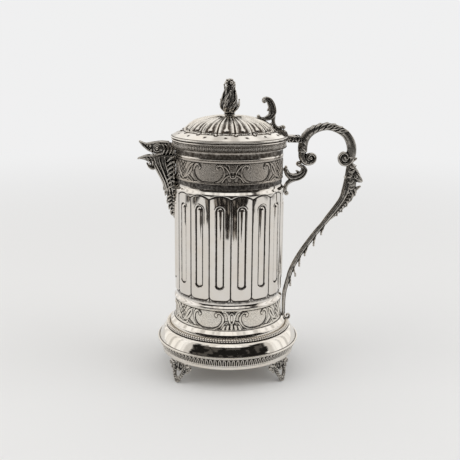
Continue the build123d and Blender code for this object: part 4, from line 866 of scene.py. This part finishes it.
shapes = [ball((65.5, 0, 199.7), 2.7, (1, 1.05, 1))]
crescent = [(66.2, 197.8), (69.6, 196.6), (70.8, 193.4), (68.4, 189.6), (63.8, 187), (59.2, 186.4),
    (55.4, 188.8), (53.4, 192.4), (53.2, 195.6)]
shapes.append(sweep(crescent,
    [(1.3, 2.3), (2, 2.6), 2.8, (3.3, 2.9), (3.2, 2.9), (2.6, 2.8), (2.1, 2.6), (1.7, 2.5), (1.4, 2.3)],
    count=120, sides=36))
for edge in (((70.4, 197.8), (73, 194), (70.6, 188.2), (65.2, 184.6), (60, 184)),
        ((68.6, 195.4), (68, 192.6), (65.4, 190.6), (61.6, 189.4), (57.6, 190.4), (55.2, 194))):
    shapes += both_sides(sweep([(x, 2.3, z) for x, z in edge], [0.45, (0.85, 0.8), (0.85, 0.8), 0.45],
        count=70, sides=14))
shapes.append(sweep([(65.8, 190.2), (64.4, 192.6), (62.8, 193.2)], [(1.6, 2.2), (1.1, 1.8), (0.6, 1.2)]))
shapes.append(sweep([(63.2, 185.4), (57.6, 183.2), (54.2, 179.6), (53, 175.2), (53.4, 171.8)],
    [(2.2, 2.6), (2.3, 2.6), (2, 2.6), (1.9, 2.5), (1.4, 2.1)], count=70, sides=26, ribs=6, rib_depth=0.14))
shapes += [ball((53.6, 0, 196.2), 1.9, (0.8, 1.5, 1)), ball((54.6, 0, 171.6), 2.2, (1, 1.3, 1))]
shapes += [sweep([(48.6, 0, z), (54.4, 0, z)], [1.4, 1.5]) for z in (194.35, 174.9)]
finish_cast("handle_scroll", "handle_bracket", shapes)


# Stem: cast in one with the mask above, a long tapering S whose outer edge carries six split leaves
# with ball tips. It rolls outward into a small notched volute and is soldered to the plinth's shoulder.
stem_line = [(113.2, 197), (112.9, 188), (112.4, 181.6), (111.2, 174.4), (108.4, 166.8), (104.2, 160),
    (99.6, 153.8), (95, 147.8), (90.1, 141.3), (85.2, 135.4), (80.4, 129), (75.7, 122.4), (71.1, 115.8),
    (66.9, 108.8), (63.2, 101.8), (60.2, 94.8), (58.2, 87.7), (56.4, 81), (54.9, 74.4), (54.3, 66.3),
    (54.2, 57.4), (54.3, 51.4)]
widths = [2.6, 3.4, 3.9, 4.2, 3.3, 3.2, 3, 2.9, 2.5, 2.5, 2.5, 2.5, 2.4, 2.4, 2.3, 2.3, 2.1, 2, 1.9, 1.6,
    1.5, 1.6]
shapes = [sweep(stem_line, [(w, max(w, 2.2)) for w in widths], count=320, sides=32, ribs=6, rib_depth=0.12)]
line, way = run_through(stem_line, 300)
out = np.cross(way, (0, 1, 0))
out *= np.sign(out[:, 0])[:, None]
girth = np.interp(np.linspace(0, 1, 300), np.linspace(0, 1, len(widths)), widths)
ridge = [tuple(line[k] + out[k] * girth[k] * 0.92) for k in range(60, 299, 14)]
shapes.append(sweep(ridge, [(0.7, 0.75)] * 4, count=160, sides=14, strokes=46, stroke_depth=0.3))
for x, z in ((88.9, 132.6), (82, 121.7), (73.6, 111.8), (68.6, 101.3), (65, 91.2), (60.3, 81.6)):
    k = int(np.argmin(np.hypot(line[:, 0] - x, line[:, 2] - z)))
    start, surface = max(k - 20, 0), max(k - 9, 0)
    tip = np.array([x, 0, z])
    shapes += both_sides(
        sweep([tuple(line[start] + out[start] * girth[start] * 0.5 + (0, 0.8, 0)),
            tuple(line[surface] + out[surface] * (girth[surface] + 0.5) + (0, 1.4, 0)),
            tuple(tip + out[k] * 0.2 + (0, 1.2, 0.6)), tuple(tip + (0, 0.9, -1.1))],
            [(0.6, 0.8), (0.9, 1.3), (0.9, 1.2), (0.5, 0.6)], count=36, sides=16, strokes=4,
            stroke_depth=0.22))
    shapes.append(ball(tuple(tip + out[k] * 0.3 + (0, 0, -1.2)), 1.05))
shapes.append(
    sweep([(54.3, 52), (54.6, 48.6), (56.6, 46.6), (59.4, 47), (60.6, 49.2), (59.6, 51.2), (57.8, 50.6),
        (57.6, 49.2)],
        [(1.6, 2.2), (1.5, 2.3), (1.3, 2.3), (1.1, 2.2), (1, 2.1), (0.9, 2), (0.8, 1.9), (0.7, 1.7)],
        count=90, sides=22, strokes=16, stroke_depth=0.2))
finish_cast("handle_tail", "handle_stem", shapes)


# Mask: a grotesque bird-like head on the stem's outer side, beak open, with leaves for brow and beard
# and a long serrated leaf that runs down the stem. It's cast with the stem.
shapes = [
    sweep([(113.8, 201.4), (115.4, 195.8), (118.2, 190.2), (121.6, 186.2), (125.2, 183.2), (125.9, 181.9)],
        [(2.6, 2.9), 4.2, (5.2, 5), (3.9, 4), (2.2, 2.6), (0.8, 1.1)], count=80, sides=30),
    sweep([(114.6, 196.2), (116.2, 188.4), (116.6, 180.4), (116, 173)],
        [(3, 3.4), (4.2, 4.4), (4.3, 4.4), (3.2, 3.6)], count=60, sides=28),
    sweep([(113.2, 172.6), (117.8, 174.2), (121.6, 176.2), (125.2, 178.3)],
        [(2.8, 3.2), (2.5, 3.2), (1.9, 2.4), (0.8, 1.2)], count=50, sides=24)]
shapes += both_sides(sweep([(119.4, 3.6, 193.4), (122, 4.3, 190.6), (123.8, 3.4, 187.8)],
        [0.7, (1.1, 0.9), (0.5, 0.6)]), ball((120.3, 4.2, 188.2), 1.35),
    sweep([(117.6, 4.9, 189.6), (118.6, 5.2, 187), (121.2, 4.6, 185.6)], [(0.5, 0.4), (0.7, 0.5), 0.4]),
    sweep([(124.8, 1.4, 185.6), (126, 1.3, 184.2), (125.9, 1.1, 182.6)], [0.6, (0.8, 0.7), 0.5]),
    *[sweep(knots, [(0.7, 0.6), (wide, 0.7), 0.5])
        for wide, *knots in ((1.1, (113.4, 4, 197.6), (116.6, 4.4, 196.4), (119.8, 3, 198.6)),
        (1.2, (112.2, 4.2, 192.8), (115.4, 5, 192.4), (118.6, 4.2, 194.8)),
        (1.1, (111.4, 4.2, 187.4), (114, 5, 188.2), (116.4, 5, 191)),
        (1.1, (112.2, 4.2, 182.6), (115, 4.8, 182.2), (117.4, 4.6, 184.4)),
        (1.1, (112.6, 4, 177.6), (115.4, 4.4, 176.2), (118.4, 3.8, 177.4)))],
    sweep([(118.8, 3.2, 176.2), (120.2, 2.8, 172.8), (118.6, 2.2, 169.4)],
        [(0.8, 0.7), (1.1, 0.8), (0.4, 0.5)]),
    sweep([(116.4, 3.2, 174.2), (117.4, 3, 170.2), (115.6, 2.4, 166.2)],
        [(0.8, 0.7), (1.2, 0.8), (0.4, 0.5)]))
shapes.append(ball((110.2, 0, 187), 1.5, (1, 2.6, 1)))
shapes.append(
    sweep([(116.4, 175.2), (116, 169.6), (112.6, 164.2), (109, 159.6), (105, 154.8), (101, 150.4),
        (97.6, 146.4)],
        [(3.2, 3.3), (3.4, 3.5), (3.1, 3.5), (2.8, 3.3), (2.4, 2.9), (1.7, 2.2), (0.8, 1.2)], count=120,
        sides=28, strokes=11, stroke_depth=0.24, slant=1.4))
for k, (x, z) in enumerate(((119.4, 170), (116, 165), (112.2, 159.4), (107.8, 154), (103.4, 150))):
    shapes += both_sides(ball((x, 1.6 - 0.15 * k, z), 1.4 - 0.1 * k, (1, 1.1, 1)))
shapes.append(sweep([(113.6, 202), (117.6, 203.2), (120.4, 205.2)], [(1.7, 2), (1.6, 1.9), (1, 1.3)],
    strokes=4, stroke_depth=0.22))
finish_cast("handle_head", "handle_mask", shapes)


# Spout: a hollow neck soldered over a slot in the wall, ribbed like folded feathers, ending in a bird's
# head whose open beak pours. Head, jaw and neck are cast and soldered together.
def neck_place(height, turn, proud=0):
    """A place on the neck's outer face: a height, and degrees round from its front edge."""
    levels = [147.5, 162, 174, 186, 197, 208]
    reach = np.interp(height, levels, [2.4, 7, 9.6, 13.6, 20.2, 24.2])
    half = np.interp(height, levels, [2.6, 4.4, 6.4, 7.8, 8.5, 8.5])
    turn = math.radians(turn)
    return (-(95 + reach) / 2 - ((4 + reach) / 2 + proud) * math.cos(turn), (half + proud) * math.sin(turn),
        height)


shapes = [solid_of("spout_neck")]
for turn in (0, 22, 44, 66, 88):
    knots = [neck_place(z, turn, 0.25) for z in (206.5, 199, 191, 184, 178, 174.5)]
    knots.append(neck_place(172.4, turn, 1.3))
    rib = sweep(knots, [0.5, 0.8, 0.95, 0.95, 1, 0.7], count=70, sides=14)
    tip = ball(knots[-1], 0.95)
    shapes += both_sides(rib, tip) if turn else [rib, tip]
for z in np.arange(168.5, 150, -3.4):
    shapes += both_sides(
        sweep([neck_place(z + 2.6, 70, 0.1), neck_place(z + 0.6, 40, 0.45), neck_place(z - 1.2, 4, 0.85)],
            [0.5, (0.85, 0.75), 0.5], count=20, sides=12))
for z in np.arange(152, 204, 3.6):
    half = neck_place(z, 90)[1]
    shapes += both_sides(ball((-math.sqrt(51.4 ** 2 - half ** 2) - 0.5, half + 0.2, z), 1.35, (1, 1, 1.15)))
for z in np.arange(179, 208, 4.4):
    half = neck_place(z, 90)[1]
    shapes += both_sides(
        sweep([(-50.6, half + 0.9, z + 1.9), (-54.2, half + 1.1, z + 0.6), (-57.6, half + 0.5, z - 2.4)],
            [0.6, (1.15, 0.9), 0.5], count=24, sides=14, strokes=3, stroke_depth=0.2))
for z, reach in ((176.2, 2.3), (171, 1.9), (163.4, 1.8), (157.6, 1.9), (152.6, 1.5)):
    shapes += both_sides(
        sweep([neck_place(z + 3.4, 14, -0.2), neck_place(z + 1, 10, 0.9), neck_place(z - 1.6, 8, reach)],
            [(1, 0.9), (1.2, 1), 0.5], count=24, sides=14))
finish_cast("spout_feathers", "spout_neck", shapes, 0.32)

lip = [(-math.sqrt(48.9 ** 2 - (6.7 * math.cos(t)) ** 2), 6.7 * math.cos(t),
    (199.4 if math.sin(t) > 0 else 191.4) + 6.7 * math.sin(t)) for t in np.linspace(0.1, 6.6, 40)]
piece = cast("pouring_hole_lip",
    [sweep(lip, [(1.1, 1.3), (1.1, 1.3)], face=(1, 0, 0), count=200, sides=14)], 0.32, 1)
finish_piece(piece, "jug", inside, "polished_silver")

eye_ring = [(-66.7 + 2.7 * math.cos(t), 7.5, 214.6 + 2.7 * math.sin(t))
    for t in np.radians(np.arange(0, 361, 40))]
brow_ring = [(-66.5 + 4.3 * math.cos(t), 7, 214.6 + 4.1 * math.sin(t))
    for t in np.radians(np.arange(-50, 171, 28))]
shapes = [solid_of("spout_head")]
shapes += both_sides(sweep(eye_ring, [0.55, 0.55], count=60, sides=12), ball((-66.7, 7.7, 214.6), 1.35),
    sweep(brow_ring, [(0.4, 0.5), 0.75, (0.4, 0.5)], count=60, sides=12),
    sweep([(-81.8, 0.9, 220.6), (-77.5, 2.6, 218.2), (-71.2, 4, 219), (-63, 4.8, 220), (-56, 5.4, 219.8)],
        [(0.4, 0.5), 0.8, 0.9, 0.9, 0.5]),
    sweep([(-82.6, 1.1, 219.8), (-79, 2.9, 216), (-75.2, 4.4, 212.8), (-71.2, 6, 211)],
        [0.4, 0.7, 0.7, 0.5]),
    sweep([(-71.6, 5.6, 210.2), (-67.6, 7.4, 209.2), (-63.2, 8, 210.2), (-60.4, 8.2, 211.8)],
        [(0.4, 0.5), (0.9, 0.8), (0.9, 0.8), (0.4, 0.5)]), ball((-72.8, 5.3, 216.6), 1.2),
    ball((-72.2, 5.6, 213), 1.1), ball((-75.6, 4, 216.8), 0.9),
    *[sweep([(x, 7.5, 218.6), (x + 2.4, 8.4, 214.6), (x + 0.4, 8.2, 209.4)], [0.5, (1, 0.85), 0.5],
        count=30, sides=14) for x in (-62.4, -59.2, -56, -53.2)])
finish_cast("spout_bird_head", "spout_head", shapes)

shapes = [solid_of("spout_jaw")]
shapes += both_sides(
    sweep([(-84.6, 1, 204.8), (-80.4, 2.6, 206.4), (-75.4, 4.3, 207.4), (-70.4, 5.6, 207.3)],
        [(0.35, 0.4), 0.6, (0.75, 0.7), 0.5]),
    *[
        sweep([(x, 4.2 + 0.14 * (x + 77), 206.2), (x + 3, 5.4 + 0.1 * (x + 77), 202.8),
        (x + 2.6, 3.8 + 0.16 * (x + 77), 198.8)], [0.5, (0.95, 0.8), 0.5], count=30, sides=14)
        for x in (-77, -74, -71, -68)],
    sweep([(-76.8, 1.8, 200.6), (-74.2, 2.6, 196.6), (-70.6, 2.8, 195), (-68.4, 2.4, 197.2)],
        [0.6, (1, 0.9), (1, 0.9), 0.6]))
shapes.append(sweep([(-76.6, 200.4), (-73.8, 196), (-70.4, 194.2)], [(0.7, 1.2), (1.1, 1.8), (0.8, 1.4)]))
finish_cast("spout_lower_beak", "spout_jaw", shapes)


# Feet: four openwork castings soldered under the lip, each a shell over two leafy bars that meet in a
# rounded toe, with two pairs of curled wings.
foot_bars = (
    ([(0, 66.4, 3.4), (3.2, 65.8, 5.6), (5.2, 64.6, 9.2), (5.9, 63.4, 12.6), (8.2, 62.4, 15.6),
        (11.6, 61.9, 17.2)], [(2.1, 1.8), (1.9, 1.7), (2, 1.8), (2.4, 1.9), (2.2, 1.6), 1.2], 80, 9),
    ([(9.4, 62.2, 16.4), (12.8, 61.9, 17.2), (13.9, 61.8, 15.4), (12.6, 61.9, 14)],
        [(1.5, 1.3), (1.4, 1.2), (1.3, 1.2), 1.1], 40, 0),
    ([(5.6, 63.2, 12.6), (9, 62.9, 11.2), (10.6, 62.7, 12.8), (9.4, 62.8, 14.2)],
        [(1.5, 1.3), (1.3, 1.2), 1.2, 1.1], 40, 0),
    ([(3, 63.2, 12.4), (4.9, 63, 15.4), (3.6, 62.8, 18.6), (1.6, 63, 16)], [0.7, (0.85, 0.8), 0.8, 0.6], 40,
        0))
foot_shapes = []
for sign in (1, -1):
    foot_shapes += [sweep([(sign * x, y, z) for x, y, z in knots], sizes, count=count, strokes=strokes,
        stroke_depth=0.28, slant=1.2) for knots, sizes, count, strokes in foot_bars]
    foot_shapes += [ball((sign * 2.9, 63.1, 15.6), 1.5, (0.9, 0.8, 1.3)), ball((sign * 13, 62, 15.7), 1.4),
        ball((sign * 9.8, 62.9, 12.9), 1.25)]
foot_shapes += [ball((0, 62.2, 15.4), 4.8, (1.15, 0.46, 0.88)), ball((0, 63.8, 12.6), 1.8),
    ball((0, 65.8, 2.7), 2.65, (1.25, 0.9, 0.95)), ball((0, 67, 2), 1.75, (1.35, 0.7, 1)),
    ball((0, 63.9, 16.2), 1.3, (1, 0.8, 1.6)),
    sweep([(-9, 61.4, 18.7), (0, 62, 18.6), (9, 61.4, 18.7)], [(0.9, 1), (1, 1.3), (0.9, 1)])]
for azimuth, name in ((-48, "foot_front_left"), (48, "foot_front_right"), (-132, "foot_back_left"),
        (132, "foot_back_right")):
    turn = math.radians(azimuth)
    placed = []
    for points, faces in foot_shapes:
        sideways, outward, level = points.T
        placed.append(
            (
                np.stack([outward * math.sin(turn) + sideways * math.cos(turn),
                -outward * math.cos(turn) + sideways * math.sin(turn), level], 1), faces))
    piece = cast(name.replace("foot", "openwork_foot"), placed, 0.3, 1, dark=0.57)
    finish_piece(piece, "jug", aged, "oxidised_silver", name)
